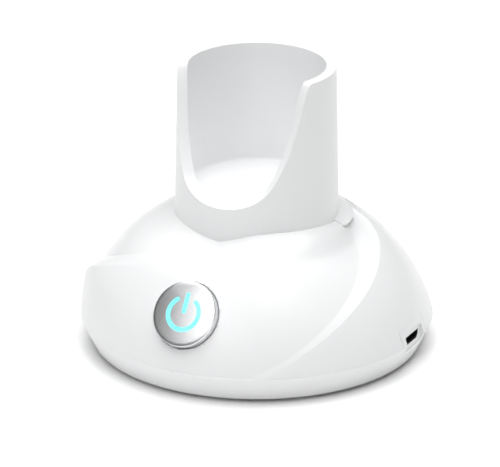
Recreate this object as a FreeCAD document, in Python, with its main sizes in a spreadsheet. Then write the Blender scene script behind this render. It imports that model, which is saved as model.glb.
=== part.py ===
"""Charging dock for a toothbrush handle.

A round base with a domed top carries an upright cup, open at the front in a deep U. A swirl panel,
the front apron, wraps over the front of the dome: it stands proud of the dome at the left, in a
ledge, and sinks under the dome's edge at the right. A metal power button sits in the apron.

Frame: millimetres, +Z up, origin on the table under the centre of the base. The front of the dock
faces -Y and its power inlet faces +X. Angles round the dock are measured from the front, positive
towards +X.
"""
import FreeCAD
import Part
import Sketcher
import math
import os

V = FreeCAD.Vector
doc = FreeCAD.newDocument("charging_dock")

# ---------------------------------------------------------------- driving dimensions

DIMENSIONS = {
    # base and dome
    "base_radius": 50.0,        # widest circle, at the skirt line
    "band_height": 7.25,        # tapered band below the skirt line
    "band_inset": 3.4,          # the band's taper on the radius
    "dome_rise": 32.0,          # dome height above the skirt line, at the cup
    "shell_wall": 2.2,
    "floor_wall": 2.0,
    # feet
    "foot_radius": 4.5,
    "foot_stand": 1.0,          # what a foot stands out
    "foot_recess": 0.7,         # what a foot sits in
    "foot_inset": 11.0,         # foot centre inside the widest circle
    # cup
    "cup_root_radius": 23.1,    # outside, where the cup leaves the dome
    "cup_rim_radius": 22.1,     # outside, at the rim
    "cup_bore": 19.3,           # radius that the brush handle stands in
    "cup_rim_rise": 73.2,       # rim above the skirt line
    "cup_floor_rise": 37.9,     # floor above the skirt line
    "cup_skirt_rise": 21.0,     # lower end of the cup inside the dome, above the skirt line
    "cup_flange_reach": 4.2,
    "cup_flange_wall": 3.0,
    "cup_skirt_wall": 2.2,
    # front cut of the cup, drawn on the plane that touches the cup's front
    "cut_lip": 1.0,             # lowest point of the cut above the cup floor
    "cut_round": 26.0,          # bottom arc of the U
    "cut_slope": 43.5,          # its sides, degrees
    "cut_shoulder": 32.0,       # arc that turns a side into the rim
    # swirl of the front apron
    "ledge_x": 11.1,            # centre of the ledge's circle, to the left
    "ledge_y": 8.0,             # and to the back
    "ledge_radius": 37.9,
    "ledge_lip": 2.3,           # width over which the lip climbs, seen from above
    "ledge_proud": 3.4,         # how far the apron stands proud at its crest
    "ledge_start": 28.0,        # angle left of the front where the ledge begins to rise
    "ledge_full": 68.0,         # and where it is fully proud
    "band_offset": 12.0,        # centre of the right edge's circle, to the front
    "band_radius": 39.9,
    "band_fall": 0.3,           # slope of the bevel along the right edge
    "neck_dip": 2.4,            # hollow of the apron in front of the cup
    "tail_start": 97.0,         # angle at which the apron leaves the cup
    "tail_reach": 3.4,          # distance it then keeps from the cup
    # screws, posts and seals
    "boss_radius": 3.2,
    "boss_inset": 12.0,         # housing screws inside the widest circle
    "screw_radius": 1.25,
    "screw_head": 2.4,
    "screw_head_height": 1.6,
    "post_radius": 3.0,
    "small_screw": 0.9,
    "small_head": 1.7,
    "small_head_height": 1.1,
    "gasket_width": 1.2,
    "gasket_height": 1.6,
    # charging coil
    "coil_bore": 6.2,
    "coil_radius": 12.5,
    "coil_height": 4.4,
    "bobbin_wall": 0.8,
    "ferrite_wall": 1.5,
    "holder_wall": 2.0,
    "holder_screw_circle": 17.6,
    "holder_boss": 2.1,
    # power button, all along its own axis
    "button_angle": 34.0,       # height of the button's axis, degrees
    "button_radius": 9.5,
    "button_proud": 1.2,        # top above the apron
    "button_crown": 0.3,
    "button_plate": 1.2,
    "button_stop": 0.2,         # cap flange below the apron
    "button_skirt": 0.9,        # wall of the cap
    "button_gap": 0.3,          # round the cap, in the apron's hole
    "button_depth": 10.2,       # from the apron's face to the back of the guide
    "guide_wall": 1.8,
    "symbol_radius": 4.65,
    "symbol_stroke": 1.4,
    "symbol_gap": 38.0,         # half the opening of the symbol's ring, degrees
    "symbol_bar": 6.2,
    "bellows_radius": 6.2,      # silicone bellows that push the button back
    "bellows_wall": 0.6,
    "slide_gap": 0.05,          # running clearance on a radius
    # boards and inlet
    "board_wall": 1.2,
    "board_length": 29.5,
    "board_width": 22.0,
    "board_edge": 5.5,          # board edge inside the widest circle
    "board_rise": 3.4,          # board above the base floor
    "inlet_width": 7.5,
    "inlet_height": 2.5,
    "inlet_depth": 5.4,
    "inlet_set_back": 3.0,      # mouth of the inlet inside the widest circle
    "pocket_width": 11.5,
    "pocket_height": 6.2,
    "pocket_wall": 1.3,
    "wire_radius": 0.5,
}

sheet = doc.addObject("Spreadsheet::Sheet", "Sizes")
for row, (alias, number) in enumerate(DIMENSIONS.items(), start=1):
    sheet.set(f"A{row}", alias)
    sheet.set(f"B{row}", str(number))
    sheet.setAlias(f"B{row}", alias)
doc.recompute()


class Size:
    """A length that knows both its number and the expression that gives it."""

    def __init__(self, number, text):
        self.number = float(number)
        self.text = text

    @staticmethod
    def of(other):
        return other if isinstance(other, Size) else Size(other, repr(float(other)))

    def __add__(self, other):
        other = Size.of(other)
        return Size(self.number + other.number, f"({self.text} + {other.text})")

    def __sub__(self, other):
        other = Size.of(other)
        return Size(self.number - other.number, f"({self.text} - {other.text})")

    def __mul__(self, other):
        other = Size.of(other)
        return Size(self.number * other.number, f"({self.text} * {other.text})")

    def __truediv__(self, other):
        other = Size.of(other)
        return Size(self.number / other.number, f"({self.text} / {other.text})")

    def __radd__(self, other):
        return Size.of(other) + self

    def __rsub__(self, other):
        return Size.of(other) - self

    def __rmul__(self, other):
        return Size.of(other) * self

    def root(self):
        return Size(math.sqrt(self.number), f"sqrt({self.text})")


class Sizes:
    """The sheet's cells by name."""

    def __getattr__(self, alias):
        return Size(sheet.get(alias), "Sizes." + alias)


size = Sizes()

# heights and radii that follow from the driving dimensions
base_bottom = size.foot_stand
base_floor = base_bottom + size.floor_wall
skirt = base_bottom + size.band_height
dome_top = skirt + size.dome_rise
dome_drop = ((size.base_radius * size.base_radius - size.cup_root_radius * size.cup_root_radius
              - size.dome_rise * size.dome_rise) / (2 * size.dome_rise))
dome_centre = skirt - dome_drop
dome_radius = (size.base_radius * size.base_radius + dome_drop * dome_drop).root()
cup_rim = skirt + size.cup_rim_rise
cup_floor = skirt + size.cup_floor_rise
cup_floor_under = cup_floor - size.floor_wall
cup_foot = skirt + size.cup_skirt_rise
flange_radius = size.cup_root_radius + size.cup_flange_reach

SHELL_REACH = 200.0             # longer than anything that is cut away
DOME_SCREWS = (45, 135, 200)    # places of the housing screws, degrees from +X towards +Y
APRON_SCREWS = (237, 315)


# ---------------------------------------------------------------- helpers

def bind(obj, **sizes):
    """Tie an object's properties to the sheet."""
    for name, given in sizes.items():
        obj.setExpression(name, Size.of(given).text)


def place(obj, x=0, y=0, z=0):
    """Tie an object's place to the sheet."""
    for axis, given in zip("xyz", (x, y, z)):
        obj.setExpression(f".Placement.Base.{axis}", Size.of(given).text)
    return obj


def part(kind, name, **sizes):
    obj = doc.addObject("Part::" + kind, name)
    bind(obj, **sizes)
    return obj


def box(name, corner, length, width, height):
    return place(part("Box", name, Length=length, Width=width, Height=height), *corner)


def rod(name, radius, bottom, top, x=0, y=0):
    return place(part("Cylinder", name, Radius=radius, Height=top - bottom), x, y, bottom)


def ball(name, radius):
    return place(part("Sphere", name, Radius=radius), 0, 0, dome_centre)


def cut(name, base, *tools):
    obj = doc.addObject("Part::Cut", name)
    obj.Base = base
    obj.Tool = tools[0] if len(tools) == 1 else joined(name + "_tools", *tools)
    return obj


def joined(name, *pieces):
    obj = doc.addObject("Part::MultiFuse", name)
    obj.Shapes = list(pieces)
    return obj


def common(name, *pieces):
    obj = doc.addObject("Part::MultiCommon", name)
    obj.Shapes = list(pieces)
    return obj


def group(name, *pieces):
    obj = doc.addObject("Part::Compound", name)
    obj.Links = list(pieces)
    return obj


def free_shape(name, shape):
    obj = doc.addObject("Part::Feature", name)
    obj.Shape = shape
    return obj


def draw_outline(sketch, points):
    """A closed outline of straight lines, each corner tied to the sheet."""
    corners = [(Size.of(x), Size.of(y)) for x, y in points]
    count = len(corners)
    for i, (x, y) in enumerate(corners):
        next_x, next_y = corners[(i + 1) % count]
        sketch.addGeometry(Part.LineSegment(V(x.number, y.number, 0), V(next_x.number, next_y.number, 0)))
    Constraint = Sketcher.Constraint
    for i, (x, y) in enumerate(corners):
        sketch.addConstraint(Constraint("Coincident", i, 2, (i + 1) % count, 1))
        for kind, given, axis in (("DistanceX", x, -2), ("DistanceY", y, -1)):
            if given.number == 0:
                sketch.addConstraint(Constraint("PointOnObject", i, 1, axis))
            else:
                index = sketch.addConstraint(Constraint(kind, -1, 1, i, 1, given.number))
                sketch.setExpression(f"Constraints[{index}]", given.text)


def turned(name, points):
    """A body turned about its own Z axis from an outline of (radius, height) corners."""
    body = doc.addObject("PartDesign::Body", name)
    plane = next(f for f in body.Origin.OriginFeatures if f.Role == "XZ_Plane")
    sketch = body.newObject("Sketcher::SketchObject", name + "_outline")
    sketch.AttachmentSupport = [(plane, "")]
    sketch.MapMode = "FlatFace"
    draw_outline(sketch, points)
    turn = body.newObject("PartDesign::Revolution", name + "_turn")
    turn.Profile = sketch
    turn.ReferenceAxis = (sketch, ["V_Axis"])
    turn.Angle = 360.0
    sketch.Visibility = False
    return body


def polar(circle, angle):
    """The x and y of a place on a circle, its angle in degrees from +X towards +Y."""
    return circle * math.cos(math.radians(angle)), circle * math.sin(math.radians(angle))


def around(count, circle, first=0.0):
    """Places evenly round the axis."""
    return [polar(circle, first + 360.0 * i / count) for i in range(count)]


nodes = []


def node(name, obj):
    obj.Label = name
    nodes.append(obj)
    return obj



# ---------------------------------------------------------------- the swirl's surface

def smooth(t):
    """0 to 1 with flat ends."""
    t = min(max(t, 0.0), 1.0)
    return t * t * (3 - 2 * t)


R = dome_radius.number
CENTRE = V(0, 0, dome_centre.number)
ROOT_RADIUS = size.cup_root_radius.number
SKIRT_ANGLE = math.degrees(math.asin(dome_drop.number / R))
ROOT_ANGLE = math.degrees(math.acos(ROOT_RADIUS / R))
LEDGE = V(-size.ledge_x.number, size.ledge_y.number, 0)
EDGE = V(0, -size.band_offset.number, 0)


def crossing(radius, centre, circle, side):
    """Angle from the front at which a circle round the axis meets another, in plan."""
    reach = math.hypot(centre.x, centre.y)
    towards = math.degrees(math.atan2(centre.x, -centre.y))
    ratio = (radius ** 2 + reach ** 2 - circle ** 2) / (2 * radius * reach)
    return towards + side * math.degrees(math.acos(min(max(ratio, -1.0), 1.0)))


def left_edge(radius):
    """The ledge: a circle in plan that runs straight to the cup's front near the top."""
    turn = ROOT_RADIUS * 1.5
    if radius >= turn:
        return crossing(radius, LEDGE, size.ledge_radius.number, 1)
    at_turn = crossing(turn, LEDGE, size.ledge_radius.number, 1)
    return at_turn * (radius - ROOT_RADIUS) / (turn - ROOT_RADIUS)


def right_edge(radius):
    """The dome's overlapping edge, with a tail that leaves the cup behind its right side."""
    on_edge = crossing(radius, EDGE, size.band_radius.number, 1)
    start = size.tail_start.number
    reach = size.tail_reach.number
    climb = smooth((radius - ROOT_RADIUS - reach) / (1.15 * reach))
    return min(on_edge, start + (180 - start) * climb)


def apron_height(radius, angle, height_angle, from_left):
    """How far the apron stands off the dome's sphere: out is positive."""
    x = radius * math.sin(math.radians(angle))
    y = -radius * math.cos(math.radians(angle))
    climb = height_angle - SKIRT_ANGLE

    ledge = math.hypot(x - LEDGE.x, y - LEDGE.y) - size.ledge_radius.number
    span = size.ledge_full.number - size.ledge_start.number
    fade = smooth((-angle - size.ledge_start.number) / span)
    proud = size.ledge_proud.number * climb / 15.0 * fade
    proud *= min(max(ledge / size.ledge_lip.number, 0.0), 1.0)

    inside = size.band_radius.number - math.hypot(x - EDGE.x, y - EDGE.y)
    bevel = 0.13 * max(climb, 0.0)
    fall = size.band_fall.number
    sunk = fall * min(max(inside, 0.0), bevel) * (1 - smooth((inside - bevel) / 16.0))

    near_cup = smooth((height_angle - 42.0) / (ROOT_ANGLE - 42.0))
    hollow = size.neck_dip.number * near_cup * smooth(from_left / 7.0)
    hollow *= 1 - smooth(angle / 40.0) + 0.7 * smooth((angle - 45.0) / 60.0)
    return proud - sunk - hollow


ROWS = 18
COLUMNS = 44
BEYOND = 4.0                    # degrees that the surface runs past skirt and cup, to be trimmed


def apron_grid(scale):
    """Points of the apron's outer face, drawn towards the dome's centre by scale."""
    grid = []
    low = SKIRT_ANGLE - BEYOND
    high = ROOT_ANGLE + BEYOND
    for j in range(ROWS + 1):
        height_angle = low + (high - low) * j / ROWS
        radius = R * math.cos(math.radians(height_angle))
        start = left_edge(radius)
        end = right_edge(radius)
        row = []
        for i in range(COLUMNS + 1):
            share = i / COLUMNS
            share += 0.35 * share * (share - 1) * (1 - 2 * share) * -1
            angle = start + (end - start) * share
            from_left = math.radians(angle - start) * radius
            stand = R + apron_height(radius, angle, height_angle, from_left)
            direction = V(math.cos(math.radians(height_angle)) * math.sin(math.radians(angle)),
                          -math.cos(math.radians(height_angle)) * math.cos(math.radians(angle)),
                          math.sin(math.radians(height_angle)))
            row.append(CENTRE + direction * stand * scale)
        grid.append(row)
    return grid


def rays_solid(outer_scale, inner_scale):
    """The closed solid between two copies of the apron's face, with sides along rays from the centre."""
    faces = []
    edges = []
    for scale in (outer_scale, inner_scale):
        surface = Part.BSplineSurface()
        surface.interpolate(apron_grid(scale))
        u0, u1, v0, v1 = surface.bounds()
        edges.append([surface.uIso(u0), surface.vIso(v1), surface.uIso(u1), surface.vIso(v0)])
        faces.append(surface.toShape())
    for outer, inner in zip(*edges):
        faces.append(Part.makeRuledSurface(outer.toShape(), inner.toShape()))
    sewn = Part.makeCompound(faces)
    sewn.sewShape()
    solid = Part.Solid(sewn.Shells[0])
    if solid.Volume < 0:
        solid.reverse()
    return solid


# ---------------------------------------------------------------- base

def base_pieces():
    wall = size.shell_wall
    band_foot = size.base_radius - size.band_inset
    inner = size.base_radius - wall
    ledge_radius = inner - size.gasket_width - 0.6
    ledge_top = skirt - 1.0
    dish = turned("base_dish", [
        (0, base_bottom), (band_foot, base_bottom), (size.base_radius, skirt), (inner, skirt),
        (inner, ledge_top), (ledge_radius, ledge_top), (ledge_radius, ledge_top - 1.2),
        (band_foot - wall, base_floor), (0, base_floor)])

    solids = [dish]
    holes = []
    boss_circle = size.base_radius - size.boss_inset
    boss_top = skirt + 0.75
    head_seat = base_floor + 0.6
    screws = []
    for i, angle in enumerate(DOME_SCREWS + APRON_SCREWS):
        x, y = polar(boss_circle, angle)
        solids.append(rod(f"base_boss_{i}", size.boss_radius, base_floor, boss_top, x, y))
        holes.append(rod(f"base_head_hole_{i}", size.screw_head + 0.2, 0, head_seat, x, y))
        holes.append(rod(f"base_shank_hole_{i}", size.screw_radius, 0, boss_top + 1, x, y))
        screws.append(screw(f"housing_screw_{i}", x, y, head_seat, 10))
    node("housing_screws", group("housing_screws", *screws))

    screws = []
    post_seat = cup_foot - 6
    for i, (x, y) in enumerate(around(3, size.cup_root_radius + 1.6, 60)):
        solids.append(rod(f"cup_post_{i}", size.post_radius, base_floor, cup_foot, x, y))
        holes.append(rod(f"post_head_hole_{i}", size.screw_head + 0.1, 0, post_seat, x, y))
        holes.append(rod(f"post_shank_hole_{i}", size.screw_radius, 0, cup_foot + 1, x, y))
        screws.append(screw(f"cup_screw_{i}", x, y, post_seat, 8.4))
    node("cup_screws", group("cup_screws", *screws))

    for i, (x, y) in enumerate(board_corners()):
        solids.append(rod(f"board_post_{i}", 2.1, base_floor, board_bottom, x, y))
        holes.append(rod(f"board_post_hole_{i}", size.small_screw, base_floor + 0.4, board_bottom + 1, x, y))

    foot_top = base_bottom + size.foot_recess
    for i, (x, y) in enumerate(around(4, size.base_radius - size.foot_inset), start=1):
        holes.append(rod(f"foot_recess_{i}", size.foot_radius, 0, foot_top, x, y))
        foot = turned(f"foot_{i}", [
            (0, 0), (size.foot_radius - 0.5, 0), (size.foot_radius, 0.5), (size.foot_radius, foot_top),
            (0, foot_top)])
        node(f"foot_{i}", place(foot, x, y, 0))

    body = joined("base_body", *solids)
    node("lower_housing", cut("lower_housing", body, *holes, inlet_opening("base_inlet_hole")))

    gasket = turned("gasket_ring", [
        (ledge_radius + 0.1, ledge_top), (ledge_radius + 0.1 + size.gasket_width, ledge_top),
        (ledge_radius + 0.1 + size.gasket_width, ledge_top + size.gasket_height),
        (ledge_radius + 0.1, ledge_top + size.gasket_height)])
    node("housing_gasket", cut("housing_gasket", gasket, inlet_opening("gasket_inlet_hole")))


def screw(name, x, y, seat, length, head=None):
    """A round-headed screw, head down, whose head bears at the seat's height."""
    head = head or (size.screw_head, size.screw_head_height, size.screw_radius)
    radius, height, shank = head
    body = turned(name, [
        (0, 0), (radius - 0.4, 0), (radius, 0.4), (radius, height), (shank, height),
        (shank, height + length - 0.8), (shank * 0.5, height + length), (0, height + length)])
    return place(body, x, y, seat - height)


# ---------------------------------------------------------------- dome and apron

def shell_bosses(name, angles):
    """Screw bosses that grow out of a shell's inside, with their pilot holes."""
    circle = size.base_radius - size.boss_inset
    bosses = []
    pilots = []
    for i, angle in enumerate(angles):
        x, y = polar(circle, angle)
        bosses.append(rod(f"{name}_boss_{i}", size.boss_radius, skirt + 0.75, dome_top, x, y))
        pilots.append(rod(f"{name}_pilot_{i}", size.screw_radius, skirt, base_floor + 0.6 + 10, x, y))
    inside = ball(name + "_boss_limit", dome_radius - size.shell_wall * 0.6)
    return common(name + "_bosses", joined(name + "_boss_rods", *bosses), inside), pilots


def dome_pieces():
    above_skirt = rod("above_skirt", size.base_radius * 2, skirt, skirt + SHELL_REACH)
    cup_way = rod("cup_way", size.cup_root_radius, 0, SHELL_REACH)

    cap = cut("dome_cap", ball("dome_outside", dome_radius), ball("dome_inside", dome_radius - size.shell_wall))
    window = free_shape("apron_window", rays_solid(1.25, 0.75))
    bosses, pilots = shell_bosses("dome", DOME_SCREWS)
    skin = cut("dome_skin", cap, window)
    body = common("dome_body", joined("dome_with_bosses", skin, bosses), above_skirt)
    node("dome_shell", cut("dome_shell", body, cup_way, *pilots, inlet_opening("dome_inlet_hole")))

    panel = free_shape("apron_panel", rays_solid(1.0, 1 - size.shell_wall.number / R))
    bosses, pilots = shell_bosses("apron", APRON_SCREWS)
    body = common("apron_body", joined("apron_with_bosses", panel, bosses), above_skirt)
    hole = turned("apron_button_hole", [
        (0, 0), (size.button_radius + size.button_gap, 0),
        (size.button_radius + size.button_gap, button_face + 10), (0, button_face + 10)])
    hole.Placement = button_placement
    node("front_apron", cut("front_apron", body, cup_way, hole, *pilots))


# ---------------------------------------------------------------- cup

def front_cut():
    """The U that opens the cup's front: drawn on the plane touching the front, then cut radially."""
    low = cup_floor.number + size.cut_lip.number
    top = cup_rim.number
    bottom_arc = size.cut_round.number
    shoulder = size.cut_shoulder.number
    slope = math.radians(size.cut_slope.number)
    front = size.cup_root_radius.number

    side_start = V(bottom_arc * math.sin(slope), -front, low + bottom_arc * (1 - math.cos(slope)))
    corner = side_start.x + (top - side_start.z) / math.tan(slope)
    tangent = shoulder * math.tan(slope / 2)
    side_end = V(corner - tangent * math.cos(slope), -front, top - tangent * math.sin(slope))
    rim_start = V(corner + tangent, -front, top)
    shoulder_mid = V(rim_start.x - shoulder * math.sin(slope / 2), -front,
                     top - shoulder * (1 - math.cos(slope / 2)))
    above = top + 20

    def mirrored(point):
        return V(-point.x, point.y, point.z)

    right = [
        Part.LineSegment(side_start, side_end),
        Part.Arc(side_end, shoulder_mid, rim_start),
        Part.LineSegment(rim_start, V(rim_start.x, -front, above)),
    ]
    bottom = Part.Arc(mirrored(side_start), V(0, -front, low), side_start)
    lid = Part.LineSegment(V(rim_start.x, -front, above), V(-rim_start.x, -front, above))
    left = [
        Part.LineSegment(V(-rim_start.x, -front, above), mirrored(rim_start)),
        Part.Arc(mirrored(rim_start), mirrored(shoulder_mid), mirrored(side_end)),
        Part.LineSegment(mirrored(side_end), mirrored(side_start)),
    ]
    wire = Part.Wire([curve.toShape() for curve in [bottom] + right + [lid] + left])

    sections = []
    for reach in (0.1, 2.0):
        squeeze = FreeCAD.Matrix()
        squeeze.scale(V(reach, reach, 1))
        sections.append(wire.transformGeometry(squeeze))
    return Part.makeLoft(sections, True, True)


def cup_pieces():
    under = cup_floor_under
    flange_top = cup_foot + size.cup_flange_wall
    skirt_inside = size.cup_root_radius - size.cup_skirt_wall
    tube = turned("cup_tube", [
        (0, cup_floor), (size.cup_bore, cup_floor), (size.cup_bore, cup_rim),
        (size.cup_rim_radius, cup_rim), (size.cup_root_radius, skirt + size.dome_rise - 3),
        (size.cup_root_radius, flange_top), (flange_radius, flange_top), (flange_radius, cup_foot),
        (skirt_inside, cup_foot), (skirt_inside, under), (0, under)])
    bosses = []
    holes = []
    screws = []
    boss_foot = holder_plate_top
    for i, (x, y) in enumerate(around(3, size.holder_screw_circle)):
        bosses.append(rod(f"holder_boss_{i}", size.holder_boss, boss_foot, under, x, y))
        holes.append(rod(f"holder_boss_hole_{i}", size.small_screw, boss_foot - 1, under - 1, x, y))
        seat = boss_foot - size.holder_wall
        small = (size.small_head, size.small_head_height, size.small_screw)
        screws.append(screw(f"coil_holder_screw_{i}", x, y, seat, 7, small))
    node("coil_holder_screws", group("coil_holder_screws", *screws))
    for i, (x, y) in enumerate(around(3, size.cup_root_radius + 1.6, 60)):
        holes.append(rod(f"flange_hole_{i}", size.screw_radius, cup_foot - 1, flange_top - 0.4, x, y))
    body = joined("cup_body", tube, *bosses)
    node("cup", cut("cup", body, free_shape("cup_front_cut", front_cut()), *holes))


coil_top = cup_floor_under
coil_foot = coil_top - size.coil_height - 2 * size.bobbin_wall
ferrite_foot = coil_foot - size.ferrite_wall
holder_plate_top = ferrite_foot


def coil_pieces():
    flange = size.coil_radius + 0.8
    core = size.coil_bore - size.bobbin_wall
    low = coil_foot + size.bobbin_wall
    high = coil_top - size.bobbin_wall
    node("coil_bobbin", turned("coil_bobbin", [
        (core, coil_foot), (flange, coil_foot), (flange, low), (size.coil_bore, low),
        (size.coil_bore, high), (flange, high), (flange, coil_top), (core, coil_top)]))
    node("coil_winding", turned("coil_winding", [
        (size.coil_bore, low), (size.coil_radius, low), (size.coil_radius, high), (size.coil_bore, high)]))
    node("ferrite_core", turned("ferrite_core", [
        (0, ferrite_foot), (flange, ferrite_foot), (flange, coil_foot), (core, coil_foot),
        (core, coil_top - 0.2), (0, coil_top - 0.2)]))

    ring = flange + 0.4
    plate = size.cup_root_radius - size.cup_skirt_wall - 0.5
    plate_foot = holder_plate_top - size.holder_wall
    holder = turned("holder_body", [
        (0, plate_foot), (plate, plate_foot), (plate, holder_plate_top), (ring + 1.5, holder_plate_top),
        (ring + 1.5, coil_top), (ring, coil_top), (ring, holder_plate_top), (0, holder_plate_top)])
    holes = [rod(f"holder_hole_{i}", size.small_screw, plate_foot - 1, holder_plate_top + 1, x, y)
             for i, (x, y) in enumerate(around(3, size.holder_screw_circle))]
    node("coil_holder", cut("coil_holder", holder, *holes))


# ---------------------------------------------------------------- main board and inlet

board_bottom = base_floor + size.board_rise
board_top = board_bottom + size.board_wall
board_out = size.base_radius - size.board_edge
board_in = board_out - size.board_length
inlet_middle = board_top + size.inlet_height / 2
mouth = size.base_radius - size.inlet_set_back
FRAME_BACK = 1.6                # wall behind the pocket


def board_corners():
    for x in (board_in + 2.5, board_out - 2.5):
        for y in (size.board_width / 2 - 2.5, 2.5 - size.board_width / 2):
            yield x, y


def inlet_opening(name):
    """The block of space that the inlet's frame takes out of the housings."""
    wide = size.pocket_width + 2 * size.pocket_wall
    high = size.pocket_height + 2 * size.pocket_wall
    return box(name, (mouth - FRAME_BACK, 0 - wide / 2, inlet_middle - high / 2), 20, wide, high)


def inlet_profile(name, start, length, width, height):
    """A bar along X with the inlet's section: its lower corners are cut off."""
    body = doc.addObject("PartDesign::Body", name)
    plane = next(f for f in body.Origin.OriginFeatures if f.Role == "YZ_Plane")
    sketch = body.newObject("Sketcher::SketchObject", name + "_outline")
    sketch.AttachmentSupport = [(plane, "")]
    sketch.MapMode = "FlatFace"
    half = width / 2
    low = 0 - height / 2
    corner = height * 0.38
    draw_outline(sketch, [
        (half, height / 2), (0 - half, height / 2), (0 - half, low + corner), (corner - half, low),
        (half - corner, low), (half, low + corner)])
    pad = body.newObject("PartDesign::Pad", name + "_pad")
    pad.Profile = sketch
    pad.setExpression("Length", Size.of(length).text)
    sketch.Visibility = False
    return place(body, start, 0, inlet_middle)


def inlet_pieces():
    above = rod("inlet_above_skirt", size.base_radius * 2, skirt, dome_top)
    upper = common("inlet_dome", ball("inlet_sphere", dome_radius), above)
    outside = joined("whole_outside", upper, turned("inlet_band", [
        (0, base_bottom), (size.base_radius - size.band_inset, base_bottom), (size.base_radius, skirt),
        (0, skirt)]))
    block = common("inlet_block", inlet_opening("inlet_block_space"), outside)
    half = size.pocket_width / 2
    pocket = box("inlet_pocket", (mouth, 0 - half, inlet_middle - size.pocket_height / 2),
                 20, size.pocket_width, size.pocket_height)
    slot = inlet_profile("inlet_slot", mouth - 5, 10, size.inlet_width, size.inlet_height)
    node("inlet_frame", cut("inlet_frame", block, pocket, slot))

    start = mouth - size.inlet_depth
    wall = 0.3
    skin = inlet_profile("usb_outside", start, size.inlet_depth, size.inlet_width, size.inlet_height)
    room = inlet_profile("usb_room", start + wall, size.inlet_depth, size.inlet_width - 2 * wall,
                         size.inlet_height - 2 * wall)
    node("usb_shell", cut("usb_shell", skin, room))
    tongue_low = inlet_middle + 0.05
    node("usb_tongue", box("usb_tongue", (start + wall, -1.75, tongue_low), 4.2, 3.5, 0.5))
    contacts = [box(f"usb_contact_{i}", (start + wall + 0.3, (i - 2) * 0.65 - 0.13, tongue_low - 0.1), 3.7, 0.26, 0.1)
                for i in range(5)]
    node("usb_contacts", group("usb_contacts", *contacts))


def chip(name, x, y, length, width, height):
    """A component on the main board, placed by its middle, x counted from the board's inner end."""
    return box(name, (board_in + x - length / 2, y - width / 2, board_top), length, width, height)


def board_pieces():
    plate = box("board_plate", (board_in, 0 - size.board_width / 2, board_bottom),
                size.board_length, size.board_width, size.board_wall)
    holes = []
    screws = []
    for i, (x, y) in enumerate(board_corners()):
        holes.append(rod(f"board_hole_{i}", size.small_screw, board_bottom - 1, board_top + 1, x, y))
        small = (size.small_head, size.small_head_height, size.small_screw)
        body = screw(f"main_board_screw_{i}", x, y, board_top, 3.6, small)
        body.Placement.Rotation = FreeCAD.Rotation(V(1, 0, 0), 180)
        place(body, x, y, board_top + size.small_head_height)
        screws.append(body)
    node("main_board_screws", group("main_board_screws", *screws))
    node("main_board", cut("main_board", plate, *holes))

    node("charge_controller", chip("charge_controller", 13.0, 0, 5.0, 5.0, 0.9))
    node("filter_inductor", cut(
        "filter_inductor", chip("inductor_block", 20.2, 5.2, 6.2, 6.2, 2.8),
        rod("inductor_dimple", 1.6, board_top + 2.4, board_top + 4, board_in + 20.2, 5.2)))
    node("power_transistors", group("power_transistors", *[
        chip(f"power_transistor_{i}", 7.6, (i - 1.5) * 4.2, 3.1, 3.1, 1.0) for i in range(4)]))
    node("resonance_capacitors", group("resonance_capacitors", *[
        chip(f"resonance_capacitor_{i}", 18.6 + 3.6 * i, -5.6, 2.6, 5.0, 2.4) for i in range(2)]))
    node("small_chip_parts", group("small_chip_parts", *[
        chip(f"small_chip_part_{i}", 11.0 + 1.7 * (i % 4), 6.4 if i < 4 else -6.4, 0.8, 1.6, 0.7)
        for i in range(8)]))
    node("board_header", chip("board_header", 2.1, 0, 3.0, 8.0, 3.4))


def wire_run(points, radius):
    """A round wire along straight runs with a bend at each inner point."""
    edges = []
    start = points[0]
    for before, point, after in zip(points, points[1:], points[2:]):
        back = before - point
        ahead = after - point
        half_turn = (math.pi - back.getAngle(ahead)) / 2
        reach = 0.45 * min(back.Length, ahead.Length)
        back.normalize()
        ahead.normalize()
        bend = reach / math.tan(half_turn)
        towards = back + ahead
        towards.normalize()
        bend_start = point + back * reach
        bend_end = point + ahead * reach
        middle = point + towards * (bend / math.cos(half_turn) - bend)
        edges.append(Part.LineSegment(start, bend_start).toShape())
        edges.append(Part.Arc(bend_start, middle, bend_end).toShape())
        start = bend_end
    edges.append(Part.LineSegment(start, points[-1]).toShape())
    first = points[1] - points[0]
    profile = Part.Wire(Part.makeCircle(radius, points[0], first))
    return Part.Wire(edges).makePipeShell([profile], True, True)


def lead_pieces():
    """Inner wires: two from the coil and two from the button board, all to the main board's header."""
    radius = size.wire_radius.number
    plug = V(board_in.number + 2.1, 0, board_top.number + 3.4)
    coil_exit = holder_plate_top.number - size.holder_wall.number
    pair = []
    for side in (-1, 1):
        y = side * 0.8
        points = [V(plug.x - 7, y + 1.6, coil_exit), V(plug.x - 7, y + 1.6, plug.z + 12),
                  V(plug.x, y + 1.6, plug.z + 5), V(plug.x, y + 1.6, plug.z)]
        pair.append(wire_run(points, radius))
    node("coil_lead", free_shape("coil_lead", Part.makeCompound(pair)))

    pair = []
    for side in (-1, 1):
        back = button_placement.multVec(V(side * 0.8, -4.5, button_board_foot.number))
        inward = button_placement.Rotation.multVec(V(0, 0, -1))
        end = V(plug.x, -2.6 + side * 0.8, plug.z)
        points = [back, back + inward * 7.5, V(9 + side * 0.8, -15, plug.z + 3.5),
                  end + V(0, 0, 6.5), end]
        pair.append(wire_run(points, radius))
    node("button_lead", free_shape("button_lead", Part.makeCompound(pair)))


# ---------------------------------------------------------------- power button

button_face = size.button_depth
guide_inside = size.button_radius + 1.3
button_board_foot = Size.of(1.2)
button_board_top = button_board_foot + size.board_wall
switch_top = button_board_top + 3.1
stem_foot = switch_top + 0.7
cap_flange_top = button_face - size.shell_wall - 1.1 - size.button_stop
cap_foot = cap_flange_top - 0.8
plate_foot = button_face + size.button_proud - size.button_plate
diffuser_foot = plate_foot - 1.2

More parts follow.
